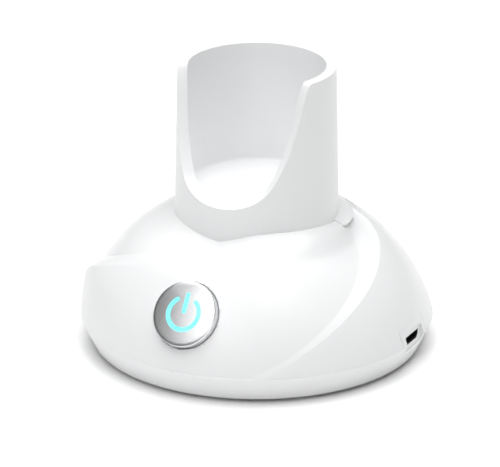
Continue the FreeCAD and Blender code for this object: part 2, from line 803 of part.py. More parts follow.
button_axis = V(0, -math.cos(math.radians(size.button_angle.number)),
                math.sin(math.radians(size.button_angle.number)))
button_stand = R + apron_height(R * math.cos(math.radians(size.button_angle.number)), 0,
                                size.button_angle.number, SHELL_REACH)
button_placement = FreeCAD.Placement(
    CENTRE + button_axis * (button_stand - size.button_depth.number),
    FreeCAD.Rotation(V(0, 0, 1), button_axis))


def power_symbol(name, bottom, top):
    """A ring, open at the top, with an upright bar."""
    outer = size.symbol_radius + size.symbol_stroke / 2
    inner = size.symbol_radius - size.symbol_stroke / 2
    sector = rod(name + "_sector", outer, bottom, top)
    sector.setExpression("Angle", (360 - 2 * size.symbol_gap).text)
    sector.Placement.Rotation = FreeCAD.Rotation(V(0, 0, 1), 90 + size.symbol_gap.number)
    ring = cut(name + "_ring", sector, rod(name + "_ring_hole", inner, bottom - 1, top + 1))
    stroke = size.symbol_stroke
    bar = box(name + "_bar", (0 - stroke / 2, 0, bottom), stroke, size.symbol_bar, top - bottom)
    return joined(name, ring, bar)


def button_pieces():
    guide_outside = guide_inside + size.guide_wall
    sleeve = turned("guide_sleeve", [
        (7, 0), (guide_outside, 0), (guide_outside, button_face), (guide_inside, button_face),
        (guide_inside, button_board_foot), (7, button_board_foot)])
    screw_circle = Size.of(8.75)
    holes = []
    screws = []
    for i, (x, y) in enumerate(around(2, screw_circle)):
        holes.append(rod(f"guide_screw_hole_{i}", size.small_screw, 0.2, button_board_foot + 1, x, y))
        small = (size.small_head - 0.1, size.small_head_height, size.small_screw)
        body = screw(f"button_board_screw_{i}", x, y, button_board_top, 2.2, small)
        body.Placement.Rotation = FreeCAD.Rotation(V(1, 0, 0), 180)
        place(body, x, y, button_board_top + size.small_head_height)
        screws.append(body)
    screws = group("button_board_screws", *screws)
    screws.Placement = button_placement
    node("button_board_screws", screws)
    guide = cut("guide_drilled", sleeve, *holes)
    guide.Placement = button_placement
    over = free_shape("above_apron", rays_solid(1.3, 1 - size.shell_wall.number / R))
    node("button_guide", cut("button_guide", guide, over))

    plate = rod("button_board_plate", guide_inside - 0.2, button_board_foot, button_board_top)
    holes = [rod(f"button_board_hole_{i}", size.small_screw, 0, button_board_top + 1, x, y)
             for i, (x, y) in enumerate(around(2, screw_circle))]
    piece = cut("button_board", plate, *holes)
    piece.Placement = button_placement
    node("button_board", piece)

    well = rod("switch_well", 1.75 + size.slide_gap, switch_top - 1.7, switch_top + 1)
    piece = cut("switch_body", box("switch_block", (-3, -3, button_board_top), 6, 6, 3.1), well)
    piece.Placement = button_placement
    node("switch_body", piece)
    plunger = turned("switch_plunger", [
        (0, switch_top - 1.1), (1.75, switch_top - 1.1), (1.75, stem_foot), (0, stem_foot)])
    plunger.Placement = button_placement
    node("switch_plunger", plunger)

    lights = group("status_leds", *[
        box(f"status_led_{i}", (x - 0.6, y - 0.6, button_board_top), 1.2, 1.2, 0.7)
        for i, (x, y) in enumerate(around(4, Size.of(4.9)))])
    lights.Placement = button_placement
    node("status_leds", lights)

    seal_foot = cap_foot - 1.6
    seal = turned("button_seal", [
        (7.4, seal_foot), (guide_inside, seal_foot), (guide_inside, seal_foot + 0.7),
        (7.4, seal_foot + 0.7)])
    seal.Placement = button_placement
    node("button_seal", seal)

    fold = (diffuser_foot - button_board_top) / 4
    wall = size.bellows_wall
    zigzag = [(size.bellows_radius + (1.0 if i % 2 else 0.0), button_board_top + fold * i) for i in range(5)]
    bellows = turned("return_bellows", zigzag + [(radius - wall, height) for radius, height in reversed(zigzag)])
    bellows.Placement = button_placement
    node("return_bellows", bellows)

    top = button_face + size.button_proud
    inside = size.button_radius - size.button_skirt
    flange = size.button_radius + 1.0
    shell = turned("cap_body", [
        (0, top), (size.button_radius * 0.75, top - size.button_crown * 0.5),
        (size.button_radius - 0.4, top - size.button_crown),
        (size.button_radius, top - size.button_crown - 0.4), (size.button_radius, cap_flange_top),
        (flange, cap_flange_top), (flange, cap_foot), (inside, cap_foot), (inside, plate_foot),
        (0, plate_foot)])
    cap = cut("button_cap", shell, power_symbol("symbol_cut", plate_foot - 1, top + 1))
    cap.Placement = button_placement
    node("button_cap", cap)

    lens = turned("lens_body", [
        (0, stem_foot), (1.6, stem_foot), (1.6, diffuser_foot), (inside, diffuser_foot),
        (inside, plate_foot), (0, plate_foot)])
    raised = power_symbol("symbol_raised", plate_foot, top - size.button_crown)
    piece = joined("icon_light_guide", lens, raised)
    piece.Placement = button_placement
    node("icon_light_guide", piece)


# ---------------------------------------------------------------- build and write

def build():
    base_pieces()
    dome_pieces()
    cup_pieces()
    coil_pieces()
    board_pieces()
    inlet_pieces()
    button_pieces()
    lead_pieces()
    doc.recompute()


def check_and_write():
    failed = [obj.Label for obj in doc.Objects if {"Invalid", "Error"} & set(obj.State)]
    bad = [obj.Label for obj in nodes if obj.Shape.isNull() or not obj.Shape.isValid()]
    if failed or bad:
        raise RuntimeError(f"failed objects: {failed}; bad shapes: {bad}")
    os.makedirs("parts", exist_ok=True)
    for obj in nodes:
        obj.Shape.exportStep(os.path.join("parts", obj.Label + ".step"))
        print(f"{obj.Label:24s} solids {len(obj.Shape.Solids)}  volume {obj.Shape.Volume:10.2f}")


build()
check_and_write()
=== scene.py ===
"""Looks of a charging dock for a toothbrush handle, laid out as an add-on.

A round base with a domed top carries an upright cup, open at the front in a deep U. The front apron
wraps over the dome: it stands proud of it along a ledge at the left and is tucked under the dome's
edge at the right. All lengths in the outlines below are millimetres in the dock's own frame.
"""
import math

import bmesh
import bpy
import numpy as np
from mathutils import Matrix, Vector


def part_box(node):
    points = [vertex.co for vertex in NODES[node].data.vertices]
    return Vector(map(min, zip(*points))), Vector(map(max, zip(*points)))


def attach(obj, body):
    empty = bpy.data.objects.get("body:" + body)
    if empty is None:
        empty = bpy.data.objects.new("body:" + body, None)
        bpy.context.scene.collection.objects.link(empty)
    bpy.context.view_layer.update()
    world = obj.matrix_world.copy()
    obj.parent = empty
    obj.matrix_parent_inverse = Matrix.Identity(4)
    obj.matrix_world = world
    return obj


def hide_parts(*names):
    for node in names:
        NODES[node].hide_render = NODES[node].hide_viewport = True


bl_info = {
    "name": "Toothbrush charging dock",
    "version": (1, 0, 0),
    "blender": (4, 5, 0),
    "location": "View3D > Sidebar > Dock",
    "description": "Builds the shells, button, feet and coil of a toothbrush charging dock",
    "category": "Object",
}

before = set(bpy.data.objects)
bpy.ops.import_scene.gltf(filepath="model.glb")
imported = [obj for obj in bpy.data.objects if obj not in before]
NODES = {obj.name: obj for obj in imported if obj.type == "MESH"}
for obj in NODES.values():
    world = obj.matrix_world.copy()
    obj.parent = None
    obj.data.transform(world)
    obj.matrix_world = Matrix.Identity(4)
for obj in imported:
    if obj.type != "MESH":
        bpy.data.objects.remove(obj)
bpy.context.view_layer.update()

MM = 0.001


def low_mm(node):
    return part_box(node)[0] / MM


def high_mm(node):
    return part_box(node)[1] / MM


# ---------------------------------------------------------------- heights and radii, from the frame

BASE_RADIUS = high_mm("lower_housing").y
BASE_BOTTOM = low_mm("lower_housing").z
SKIRT = low_mm("dome_shell").z
DOME_TOP = high_mm("dome_shell").z
CUP_FOOT = low_mm("cup").z
CUP_RIM = high_mm("cup").z

BAND_INSET = 3.4                # how far the base draws in below the skirt
CUP_ROOT = 23.1                 # outer radius of the cup where it leaves the dome
CUP_TOP = 22.1                  # outer radius at the rim
CUP_BORE = 19.3
CUP_FLOOR = SKIRT + 37.9
DOME_RISE = DOME_TOP - SKIRT
DROP = (BASE_RADIUS ** 2 - CUP_ROOT ** 2 - DOME_RISE ** 2) / (2 * DOME_RISE)
BALL_CENTRE = SKIRT - DROP
BALL = math.hypot(BASE_RADIUS, DROP)
SKIRT_ANGLE = math.degrees(math.asin(DROP / BALL))
ROOT_ANGLE = math.degrees(math.acos(CUP_ROOT / BALL))

BUTTON_TILT = math.radians(34.0)
BUTTON_DEPTH = 10.2             # from the back of the button's guide to the apron's face


# ---------------------------------------------------------------- settings

def length(default, text):
    return bpy.props.FloatProperty(name=text.split(",")[0], description=text, default=default, min=0.0)


def colour(default, text):
    return bpy.props.FloatVectorProperty(name=text.split(",")[0], description=text, default=default,
                                         subtype="COLOR", size=3, min=0.0, max=1.0)


class ShellSettings(bpy.types.PropertyGroup):
    """Sizes and colour of the white shells, in millimetres."""
    white: colour((0.86, 0.865, 0.87), "Shell colour, of the moulded white plastic")
    gloss: bpy.props.FloatProperty(name="Roughness", description="Roughness of the polished shells",
                                   default=0.3, min=0.0, max=1.0, subtype="FACTOR")
    wall: length(2.2, "Shell wall, thickness of dome and apron")
    edge_round: length(0.45, "Edge round, radius along the skirt and the cup's root")
    ledge_proud: length(3.6, "Ledge height, of the apron's crest above the dome")
    ledge_lip: length(3.1, "Ledge lip, width of the slope up to the crest")
    cup_round: length(0.4, "Cup edge round, along the rim and the front opening")


class ButtonSettings(bpy.types.PropertyGroup):
    """Sizes and colours of the power button, in millimetres."""
    metal: colour((0.84, 0.845, 0.855), "Button metal, colour of the brushed disc")
    glow: colour((0.10, 0.74, 0.77), "Icon glow, colour of the lit power sign")
    glow_strength: bpy.props.FloatProperty(name="Glow strength", description="Brightness of the power sign",
                                           default=1.0, min=0.0)
    radius: length(9.25, "Button radius, of the metal disc")
    proud: length(1.35, "Button height, of the disc's face above the apron")
    ring: length(4.55, "Ring radius, middle of the power sign's ring")
    stroke: length(1.2, "Sign stroke, width of the power sign's lines")
    bar: length(5.9, "Bar length, from the button's middle")


class CoilSettings(bpy.types.PropertyGroup):
    """The charging coil."""
    turns: bpy.props.IntProperty(name="Turns", description="Turns in each layer", default=7, min=1)
    layers: bpy.props.IntProperty(name="Layers", description="Layers of wire", default=5, min=1)


class StageSettings(bpy.types.PropertyGroup):
    """Floor, light and camera."""
    key: bpy.props.FloatProperty(name="Key light", description="Power of the softbox overhead",
                                 default=24.2, min=0.0, unit="POWER")
    front: bpy.props.FloatProperty(name="Front light", description="Power of the softbox at the front",
                                   default=1.85, min=0.0, unit="POWER")
    sky: bpy.props.FloatProperty(name="Sky", description="Strength of the pale surroundings",
                                 default=0.13, min=0.0)
    lens: bpy.props.FloatProperty(name="Lens", description="Focal length in millimetres", default=253.24)


# ---------------------------------------------------------------- materials

def node_material(name, base, roughness, metallic=0.0, **sockets):
    """A material with its shader's plain values set on the sockets, and its tree to add a pattern to."""
    material = bpy.data.materials.new(name)
    material.use_nodes = True
    shader = material.node_tree.nodes["Principled BSDF"]
    shader.inputs["Base Color"].default_value = (*base, 1.0)
    shader.inputs["Roughness"].default_value = roughness
    shader.inputs["Metallic"].default_value = metallic
    for socket, value in sockets.items():
        shader.inputs[socket.replace("_", " ")].default_value = value
    return material, material.node_tree, shader


def object_noise(tree, scale, detail=2.0, stretch=None):
    """Noise on the object's own coordinates, which are metres."""
    place = tree.nodes.new("ShaderNodeTexCoord")
    noise = tree.nodes.new("ShaderNodeTexNoise")
    noise.inputs["Scale"].default_value = scale
    noise.inputs["Detail"].default_value = detail
    source = place.outputs["Object"]
    if stretch:
        mapping = tree.nodes.new("ShaderNodeMapping")
        mapping.inputs["Scale"].default_value = stretch
        tree.links.new(source, mapping.inputs["Vector"])
        source = mapping.outputs["Vector"]
    tree.links.new(source, noise.inputs["Vector"])
    return noise


def spread(tree, source, low, high, socket):
    """Send a 0 to 1 value to a socket as a range about its plain value."""
    reach = tree.nodes.new("ShaderNodeMapRange")
    reach.inputs["To Min"].default_value = low
    reach.inputs["To Max"].default_value = high
    tree.links.new(source, reach.inputs["Value"])
    tree.links.new(reach.outputs["Result"], socket)


def bump(tree, shader, source, distance):
    """Raise a surface by a pattern, over a distance in metres."""
    relief = tree.nodes.new("ShaderNodeBump")
    relief.inputs["Strength"].default_value = 1.0
    relief.inputs["Distance"].default_value = distance
    tree.links.new(source, relief.inputs["Height"])
    tree.links.new(relief.outputs["Normal"], shader.inputs["Normal"])


def shell_plastic():
    """White plastic from a polished tool: a trace of flow in its gloss and a very low orange peel."""
    wants = bpy.context.scene.dock_shell
    material, tree, shader = node_material("dock shell plastic", wants.white, wants.gloss, IOR=1.49)
    flow = object_noise(tree, 38.0, 3.0)
    spread(tree, flow.outputs["Fac"], wants.gloss - 0.03, wants.gloss + 0.04, shader.inputs["Roughness"])
    peel = object_noise(tree, 1400.0, 2.0)
    bump(tree, shader, peel.outputs["Fac"], 0.0000015)
    return material


def base_plastic():
    """The base's white plastic, a little less polished, with a fine spark texture."""
    wants = bpy.context.scene.dock_shell
    material, tree, shader = node_material("dock base plastic", wants.white, 0.3, IOR=1.49)
    spark = object_noise(tree, 2600.0, 3.0)
    spread(tree, spark.outputs["Fac"], 0.27, 0.36, shader.inputs["Roughness"])
    bump(tree, shader, spark.outputs["Fac"], 0.000006)
    return material


def brushed_disc():
    """Metal turned on its face: fine rings round the button's own axis."""
    wants = bpy.context.scene.dock_button
    material, tree, shader = node_material("dock button brushed metal", wants.metal, 0.3, 1.0,
                                           Anisotropic=0.35)
    place = tree.nodes.new("ShaderNodeTexCoord")
    turn = tree.nodes.new("ShaderNodeMapping")
    turn.vector_type = "TEXTURE"
    turn.inputs["Location"].default_value = button_origin()
    turn.inputs["Rotation"].default_value = button_matrix().to_euler()
    tree.links.new(place.outputs["Object"], turn.inputs["Vector"])
    rings = tree.nodes.new("ShaderNodeTexWave")
    rings.wave_type = "RINGS"
    rings.rings_direction = "Z"
    rings.inputs["Scale"].default_value = 900.0
    rings.inputs["Distortion"].default_value = 1.5
    rings.inputs["Detail"].default_value = 3.0
    tree.links.new(turn.outputs["Vector"], rings.inputs["Vector"])
    spread(tree, rings.outputs["Fac"], 0.24, 0.36, shader.inputs["Roughness"])
    bump(tree, shader, rings.outputs["Fac"], 0.000003)
    return material


def icon_glow():
    """Frosted light guide, lit from behind, a little brighter in some places."""
    wants = bpy.context.scene.dock_button
    material, tree, shader = node_material("dock icon glow", wants.glow, 0.5,
                                           Emission_Strength=wants.glow_strength)
    cloud = object_noise(tree, 260.0, 1.0)
    blend = tree.nodes.new("ShaderNodeMix")
    blend.data_type = "RGBA"
    blend.inputs[6].default_value = (*wants.glow, 1.0)
    blend.inputs[7].default_value = (0.30, 0.96, 0.97, 1.0)
    tree.links.new(cloud.outputs["Fac"], blend.inputs[0])
    tree.links.new(blend.outputs[2], shader.inputs["Emission Color"])
    return material


def rubber(name, base):
    """Soft moulded rubber with a fine, matt grain."""
    material, tree, shader = node_material(name, base, 0.7)
    grain = object_noise(tree, 1800.0, 4.0)
    spread(tree, grain.outputs["Fac"], 0.6, 0.8, shader.inputs["Roughness"])
    bump(tree, shader, grain.outputs["Fac"], 0.00002)
    return material


def matt_plastic(name, base, roughness=0.5):
    """Glass-filled plastic with a slightly uneven surface."""
    material, tree, shader = node_material(name, base, roughness)
    grain = object_noise(tree, 1200.0, 3.0)
    spread(tree, grain.outputs["Fac"], roughness - 0.08, roughness + 0.1, shader.inputs["Roughness"])
    bump(tree, shader, grain.outputs["Fac"], 0.00001)
    return material


def plated_metal(name, base, roughness=0.28):
    """Drawn or plated metal with fine lines along it."""
    material, tree, shader = node_material(name, base, roughness, 1.0)
    lines = object_noise(tree, 700.0, 3.0, (1.0, 12.0, 1.0))
    spread(tree, lines.outputs["Fac"], roughness - 0.07, roughness + 0.12, shader.inputs["Roughness"])
    bump(tree, shader, lines.outputs["Fac"], 0.000004)
    return material


def board_laminate():
    """Glass laminate under green solder resist: the weave shows faintly."""
    material, tree, shader = node_material("dock board laminate", (0.02, 0.16, 0.07), 0.35)
    place = tree.nodes.new("ShaderNodeTexCoord")
    weave = tree.nodes.new("ShaderNodeTexBrick")
    weave.inputs["Scale"].default_value = 900.0
    weave.inputs["Color1"].default_value = (0.02, 0.17, 0.075, 1.0)
    weave.inputs["Color2"].default_value = (0.015, 0.14, 0.06, 1.0)
    weave.inputs["Mortar"].default_value = (0.03, 0.2, 0.1, 1.0)
    tree.links.new(place.outputs["Object"], weave.inputs["Vector"])
    tree.links.new(weave.outputs["Color"], shader.inputs["Base Color"])
    bump(tree, shader, weave.outputs["Fac"], 0.00001)
    return material


# ---------------------------------------------------------------- mesh helpers

def finish_mesh(name, mesh, material, sharp=38.0):
    """Turn a bmesh or mesh into a smooth-shaded object at the origin."""
    if isinstance(mesh, bmesh.types.BMesh):
        data = bpy.data.meshes.new(name)
        mesh.to_mesh(data)
        mesh.free()
        mesh = data
    mesh.shade_smooth()
    mesh.set_sharp_from_angle(angle=math.radians(sharp))
    obj = bpy.data.objects.new(name, mesh)
    bpy.context.scene.collection.objects.link(obj)
    if material:
        mesh.materials.clear()
        mesh.materials.append(material)
    return obj


def bake_modifiers(obj):
    """Replace an object's mesh by what its modifiers make of it."""
    bpy.context.view_layer.update()
    graph = bpy.context.evaluated_depsgraph_get()
    made = bpy.data.meshes.new_from_object(obj.evaluated_get(graph))
    old = obj.data
    obj.modifiers.clear()
    obj.data = made
    bpy.data.meshes.remove(old)
    made.name = obj.name


def outward(mesh):
    """Recalculate a closed mesh's normals."""
    bmesh.ops.remove_doubles(mesh, verts=mesh.verts, dist=1e-7)
    bmesh.ops.recalc_face_normals(mesh, faces=mesh.faces)
    return mesh


def grid_shell(outer, inner):
    """A closed shell between two grids of points with the same rows and columns."""
    mesh = bmesh.new()
    sheets = [[[mesh.verts.new(Vector(p) * MM) for p in row] for row in grid] for grid in (outer, inner)]
    rows, columns = len(outer), len(outer[0])
    for sheet, turned in zip(sheets, (False, True)):
        for j in range(rows - 1):
            for i in range(columns - 1):
                quad = [sheet[j][i], sheet[j][i + 1], sheet[j + 1][i + 1], sheet[j + 1][i]]
                mesh.faces.new(reversed(quad) if turned else quad)
    first, second = sheets
    for j in (0, rows - 1):
        for i in range(columns - 1):
            mesh.faces.new([first[j][i], first[j][i + 1], second[j][i + 1], second[j][i]])
    for i in (0, columns - 1):
        for j in range(rows - 1):
            mesh.faces.new([first[j][i], first[j + 1][i], second[j + 1][i], second[j][i]])
    return outward(mesh)


def lathe(outline, steps=128, matrix=None):
    """A closed outline of (radius, height) points turned about its axis."""
    mesh = bmesh.new()
    rings = []
    for radius, height in outline:
        if radius < 1e-6:
            rings.append([mesh.verts.new((0, 0, height * MM))] * steps)
            continue
        rings.append([mesh.verts.new((radius * MM * math.cos(t), radius * MM * math.sin(t), height * MM))
                      for t in np.linspace(0, 2 * math.pi, steps, endpoint=False)])
    for first, second in zip(rings, rings[1:] + rings[:1]):
        for i in range(steps):
            k = (i + 1) % steps
            corners = list(dict.fromkeys([first[i], first[k], second[k], second[i]]))
            if len(corners) > 2:
                mesh.faces.new(corners)
    outward(mesh)
    if matrix:
        mesh.transform(matrix)
    return mesh


def rounded(outline, rounds, steps=4):
    """Round the outline's listed corners, given as {index: radius}."""
    points = []
    for i, corner in enumerate(outline):
        radius = rounds.get(i)
        here = Vector(corner)
        if not radius:
            points.append(corner)
            continue
        before = (Vector(outline[i - 1]) - here).normalized()
        after = (Vector(outline[(i + 1) % len(outline)]) - here).normalized()
        half = before.angle(after) / 2
        reach = radius / math.tan(half)
        centre = here + (before + after).normalized() * (radius / math.sin(half))
        start = here + before * reach - centre
        end = here + after * reach - centre
        for k in range(steps + 1):
            share = start.lerp(end, k / steps).normalized() * radius
            points.append(tuple(centre + share))
    return points


def cut_away(obj, cutter, operation="DIFFERENCE"):
    """Take a closed mesh out of an object, or keep only what lies inside it."""
    tool = finish_mesh("cutter", cutter, None)
    modifier = obj.modifiers.new("opening", "BOOLEAN")
    modifier.operation = operation
    modifier.solver = "MANIFOLD"
    modifier.object = tool
    bake_modifiers(obj)
    bpy.data.objects.remove(tool)


def stand_for(obj, body, slot, *nodes):
    """Let an object take the place of CAD nodes."""
    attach(obj, body)
    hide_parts(*nodes)


def paint(node, material):
    """Set the material of a CAD node that stays as it is."""
    data = NODES[node].data
    data.materials.clear()
    data.materials.append(material)


# ---------------------------------------------------------------- the swirl

LEDGE = (-11.1, 8.0, 37.9)      # centre and radius, in plan, of the apron's edge at the left
EDGE = (0.0, -12.0, 39.9)       # the same for the dome's edge at the right
STRAIGHT_IN = CUP_ROOT * 1.5    # inside this radius the left edge runs straight to the cup's front
TAIL_START = 97.0               # angle at which the apron's tail leaves the cup, degrees
TAIL_REACH = 3.4                # its distance from the cup
ROOT_DEGREES = 2.6              # angle that a millimetre spans round the cup's root
BEVEL_FOOT = 0.5                # width of the bevel at the skirt
BEVEL_GROWTH = 0.0036           # and how it grows with the square of the height angle
LEDGE_START = 26.0              # angle left of the front at which the ledge begins to rise, degrees
LEDGE_SPREAD = 40.0             # angle over which it grows
LEDGE_CLIMB = 15.0              # height angle over which it grows, up from the skirt
TUCK = 0.42                     # depth of the bevel for each millimetre of its width
TUCK_FADE = 15.0                # width over which the apron comes back up inside the bevel
TUCK_TOP = (52.0, 9.0)          # height angle from which the bevel fades, and over how much
TUCK_LEFT = (35.0, 45.0)        # angle left of the front at which it begins, and over how much
HOLLOW_FOOT = 44.0              # height angle from which the shells dip towards the cup
HOLLOW_SHARE = 0.9
HOLLOW_TAIL = 0.75              # the dome's part of the dip beside the tail
TAIL_FADE = 80.0                # angle behind the tail over which that dip ends
SKIRT_SHARE = 0.35              # rounding of the skirt, as a part of the rounding at the cup

SHELL_ROWS, DOME_COLUMNS, APRON_COLUMNS = 78, 170, 92

# how far the root of the dome and of the apron lies below the plain dome, by angle from the front
ROOT_DROPS = [(-180, 0.0), (-60, 1.4), (-40, 1.5), (0, 3.4), (25, 0.5), (40, -0.2), (60, 0.3), (90, 1.7),
              (110, 3.0)]


def smooth(t):
    """Zero to one with level ends."""
    t = min(max(t, 0.0), 1.0)
    return t * t * (3 - 2 * t)


def crossing(radius, circle, grow=0.0):
    """Angle from the front at which a circle round the axis meets another circle, in plan."""
    x, y, other = circle
    reach = math.hypot(x, y)
    ratio = (radius ** 2 + reach ** 2 - (other + grow) ** 2) / (2 * radius * reach)
    return math.degrees(math.atan2(x, -y) + math.acos(min(max(ratio, -1.0), 1.0)))


def left_line(radius, grow=0.0):
    """Angle of the ledge's line, or of a line that runs beside it."""
    if radius >= STRAIGHT_IN:
        return crossing(radius, LEDGE, grow)
    share = (radius - CUP_ROOT) / (STRAIGHT_IN - CUP_ROOT)
    beside = grow * ROOT_DEGREES * (1 - share)
    return crossing(STRAIGHT_IN, LEDGE, grow) * share + beside


def right_line(radius, grow=0.0):
    """Angle of the dome's edge, or of a line inside it."""
    on_edge = crossing(radius, EDGE, -grow)
    climb = smooth((radius - CUP_ROOT - TAIL_REACH) / (1.15 * TAIL_REACH))
    return min(on_edge, TAIL_START + (180 - TAIL_START) * climb - grow * ROOT_DEGREES / 2)


def bevel_width(climb):
    """Plan width of the bright bevel beside the dome's edge."""
    return BEVEL_FOOT + BEVEL_GROWTH * climb ** 2


def root_drop(angle):
    """Depth of the dip at the cup's root, at an angle from the front."""
    angles, drops = zip(*ROOT_DROPS)
    return float(np.interp(angle, angles, drops))


def apron_stand(radius, angle, height_angle):
    """How far the apron stands off the plain dome, outwards positive."""
    wants = bpy.context.scene.dock_shell
    x = radius * math.sin(math.radians(angle))
    y = -radius * math.cos(math.radians(angle))
    climb = max(height_angle - SKIRT_ANGLE, 0.0)
    beyond = math.hypot(x - LEDGE[0], y - LEDGE[1]) - LEDGE[2]
    fade = smooth((-angle - LEDGE_START) / LEDGE_SPREAD)
    rise = min(max(beyond / wants.ledge_lip, 0.0), 1.0)
    proud = wants.ledge_proud * min(climb / LEDGE_CLIMB, 1.0) * fade * rise

    inside = EDGE[2] - math.hypot(x - EDGE[0], y - EDGE[1])
    width = bevel_width(climb)
    sunk = TUCK * min(max(inside, 0.0), width) * (1 - smooth((inside - width) / TUCK_FADE))
    sunk *= 1 - smooth((height_angle - TUCK_TOP[0]) / TUCK_TOP[1])
    sunk *= smooth((angle + TUCK_LEFT[0]) / TUCK_LEFT[1])
    return proud - sunk - hollow(angle, height_angle)


def hollow(angle, height_angle):
    """The dip round the cup's root."""
    share = smooth((height_angle - HOLLOW_FOOT) / (ROOT_ANGLE - HOLLOW_FOOT))
    return HOLLOW_SHARE * root_drop(angle) * share


def edge_inset(height_angle):
    """Rounding of a shell along the skirt and along the cup."""
    radius = bpy.context.scene.dock_shell.edge_round
    inset = 0.0
    for distance, share in ((height_angle - SKIRT_ANGLE, SKIRT_SHARE), (ROOT_ANGLE - height_angle, 1.0)):
        left = 1 - math.radians(max(distance, 0.0)) * BALL / radius
        if left > 0:
            inset += share * radius * (1 - math.sqrt(max(1 - left ** 2, 0.0)))
    return inset


def ray_point(angle, height_angle, distance):
    """A point on the ray from the dome's centre."""
    flat = distance * math.cos(math.radians(height_angle))
    return (flat * math.sin(math.radians(angle)), -flat * math.cos(math.radians(angle)),
            BALL_CENTRE + distance * math.sin(math.radians(height_angle)))


def row_angles(count):
    """Height angles of a shell's rows: close together where the edges are rounded."""
    round_span = math.degrees(bpy.context.scene.dock_shell.edge_round / BALL)
    foot = [SKIRT_ANGLE + round_span * t for t in (0.0, 0.12, 0.35, 0.65)]
    top = [ROOT_ANGLE - round_span * t for t in (0.65, 0.35, 0.12, 0.0)]
    middle = np.linspace(SKIRT_ANGLE + round_span, ROOT_ANGLE - round_span, count)
    return foot + list(middle) + top


def shell_grids(columns_at, stand):
    """Outer and inner grids of a shell, from each row's column angles and the outer face's stand."""
    wall = bpy.context.scene.dock_shell.wall
    outer, inner = [], []
    for height_angle in row_angles(SHELL_ROWS):
        radius = BALL * math.cos(math.radians(height_angle))
        outer_row, inner_row = [], []
        for angle in columns_at(radius, height_angle):
            distance = BALL + stand(radius, angle, height_angle) - edge_inset(height_angle)
            outer_row.append(ray_point(angle, height_angle, distance))
            x, y, z = ray_point(angle, height_angle, distance * (1 - wall / BALL))
            inner_row.append((x, y, max(z, SKIRT)))
        outer.append(outer_row)
        inner.append(inner_row)
    return outer, inner


def apron_columns(radius, height_angle):
    """Columns that follow the ledge and its crest at the left and the bevel at the right."""
    lip = bpy.context.scene.dock_shell.ledge_lip
    width = bevel_width(max(height_angle - SKIRT_ANGLE, 0.0))
    left = [left_line(radius, lip * t) for t in (0.0, 0.03, 0.25, 0.5, 0.75, 0.92, 1.0, 1.06, 1.2, 1.5)]
    right = [right_line(radius, width * t) for t in (1.5, 1.2, 1.05, 0.97, 0.85, 0.6, 0.3, 0.06, 0.0)]
    shares = np.linspace(0, 1, APRON_COLUMNS)[1:-1]
    middle = [left[-1] + (right[0] - left[-1]) * (0.75 * s + 0.25 * smooth(s)) for s in shares]
    return left + middle + right


def dome_columns(radius, height_angle):
    """Even columns from the dome's edge at the right, round the back, to the ledge."""
    start = right_line(radius)
    end = left_line(radius) + 360.0
    return [start + (end - start) * s for s in np.linspace(0, 1, DOME_COLUMNS)]


def dome_stand(radius, angle, height_angle):
    """The dome dips with the apron, at the left of the cup's front and beside the tail."""
    turned = angle - 360.0 if angle > 180.0 else angle
    if turned < 0:
        return -hollow(turned, height_angle) * smooth((turned + 150.0) / 90.0)
    fade = 1 - smooth((turned - TAIL_START) / TAIL_FADE)
    return -hollow(TAIL_START, height_angle) * HOLLOW_TAIL * fade


class DOCK_OT_shells(bpy.types.Operator):
    """Dome and front apron as smooth shells that meet along the swirl"""
    bl_idname = "dock.shells"
    bl_label = "Dome and apron"

    def execute(self, context):
        plastic = shell_plastic()
        dome = finish_mesh("dome_skin", grid_shell(*shell_grids(dome_columns, dome_stand)), plastic, 30)
        low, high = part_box("inlet_frame")
        cut_away(dome, box_mesh(low / MM, (high + Vector((0.01, 0, 0))) / MM))
        stand_for(dome, "dock", "shell_white", "dome_shell")
        apron = finish_mesh("apron_skin", grid_shell(*shell_grids(apron_columns, apron_stand)), plastic, 30)
        hole = context.scene.dock_button.radius + 0.3
        cut_away(apron, lathe([(0, 0), (hole, 0), (hole, 25), (0, 25)], 128, button_place()))
        stand_for(apron, "dock", "shell_white", "front_apron")
        return {"FINISHED"}


def box_mesh(low, high):
    """A block between two corners, in millimetres."""
    mesh = bmesh.new()
    bmesh.ops.create_cube(mesh, size=1.0)
    centre = (Vector(low) + Vector(high)) / 2
    size = Vector(high) - Vector(low)
    mesh.transform(Matrix.Translation(centre * MM) @ Matrix.Diagonal((*(size * MM), 1.0)))
    return mesh


# ---------------------------------------------------------------- cup

CUT_LOW = 38.3                  # lowest point of the front opening, above the skirt
CUT_ROUND = 26.0                # radius of its bottom
CUT_SLOPE = math.radians(43.5)  # lean of its sides
CUT_SHOULDER = 32.0             # radius of the bend up into the rim
CUT_PLANE = 22.6                # distance from the axis of the plane it is drawn on
CUT_ENDS = 89.0                 # angle from the front at which the rim is level again
CUP_TAPER = 29.0                # height above the skirt from which the cup tapers
FLOOR_THICK = 2.0
FLOOR_FILLET = 1.3
SKIRT_WALL = 2.2                # wall of the cup below its floor


def cut_height(angle):
    """Height of the cup's wall above the skirt at an angle from the front, in degrees."""
    rim = CUP_RIM - SKIRT
    if abs(angle) >= CUT_ENDS:
        return rim
    x = CUT_PLANE * math.tan(math.radians(abs(angle)))
    side = CUT_ROUND * math.sin(CUT_SLOPE)
    if x <= side:
        return CUT_LOW + CUT_ROUND - math.sqrt(CUT_ROUND ** 2 - x ** 2)
    start = CUT_LOW + CUT_ROUND * (1 - math.cos(CUT_SLOPE))
    corner = side + (rim - start) / math.tan(CUT_SLOPE)
    tangent = CUT_SHOULDER * math.tan(CUT_SLOPE / 2)
    if x <= corner - tangent * math.cos(CUT_SLOPE):
        return start + (x - side) * math.tan(CUT_SLOPE)
    if x >= corner + tangent:
        return rim
    return rim - CUT_SHOULDER + math.sqrt(CUT_SHOULDER ** 2 - (corner + tangent - x) ** 2)


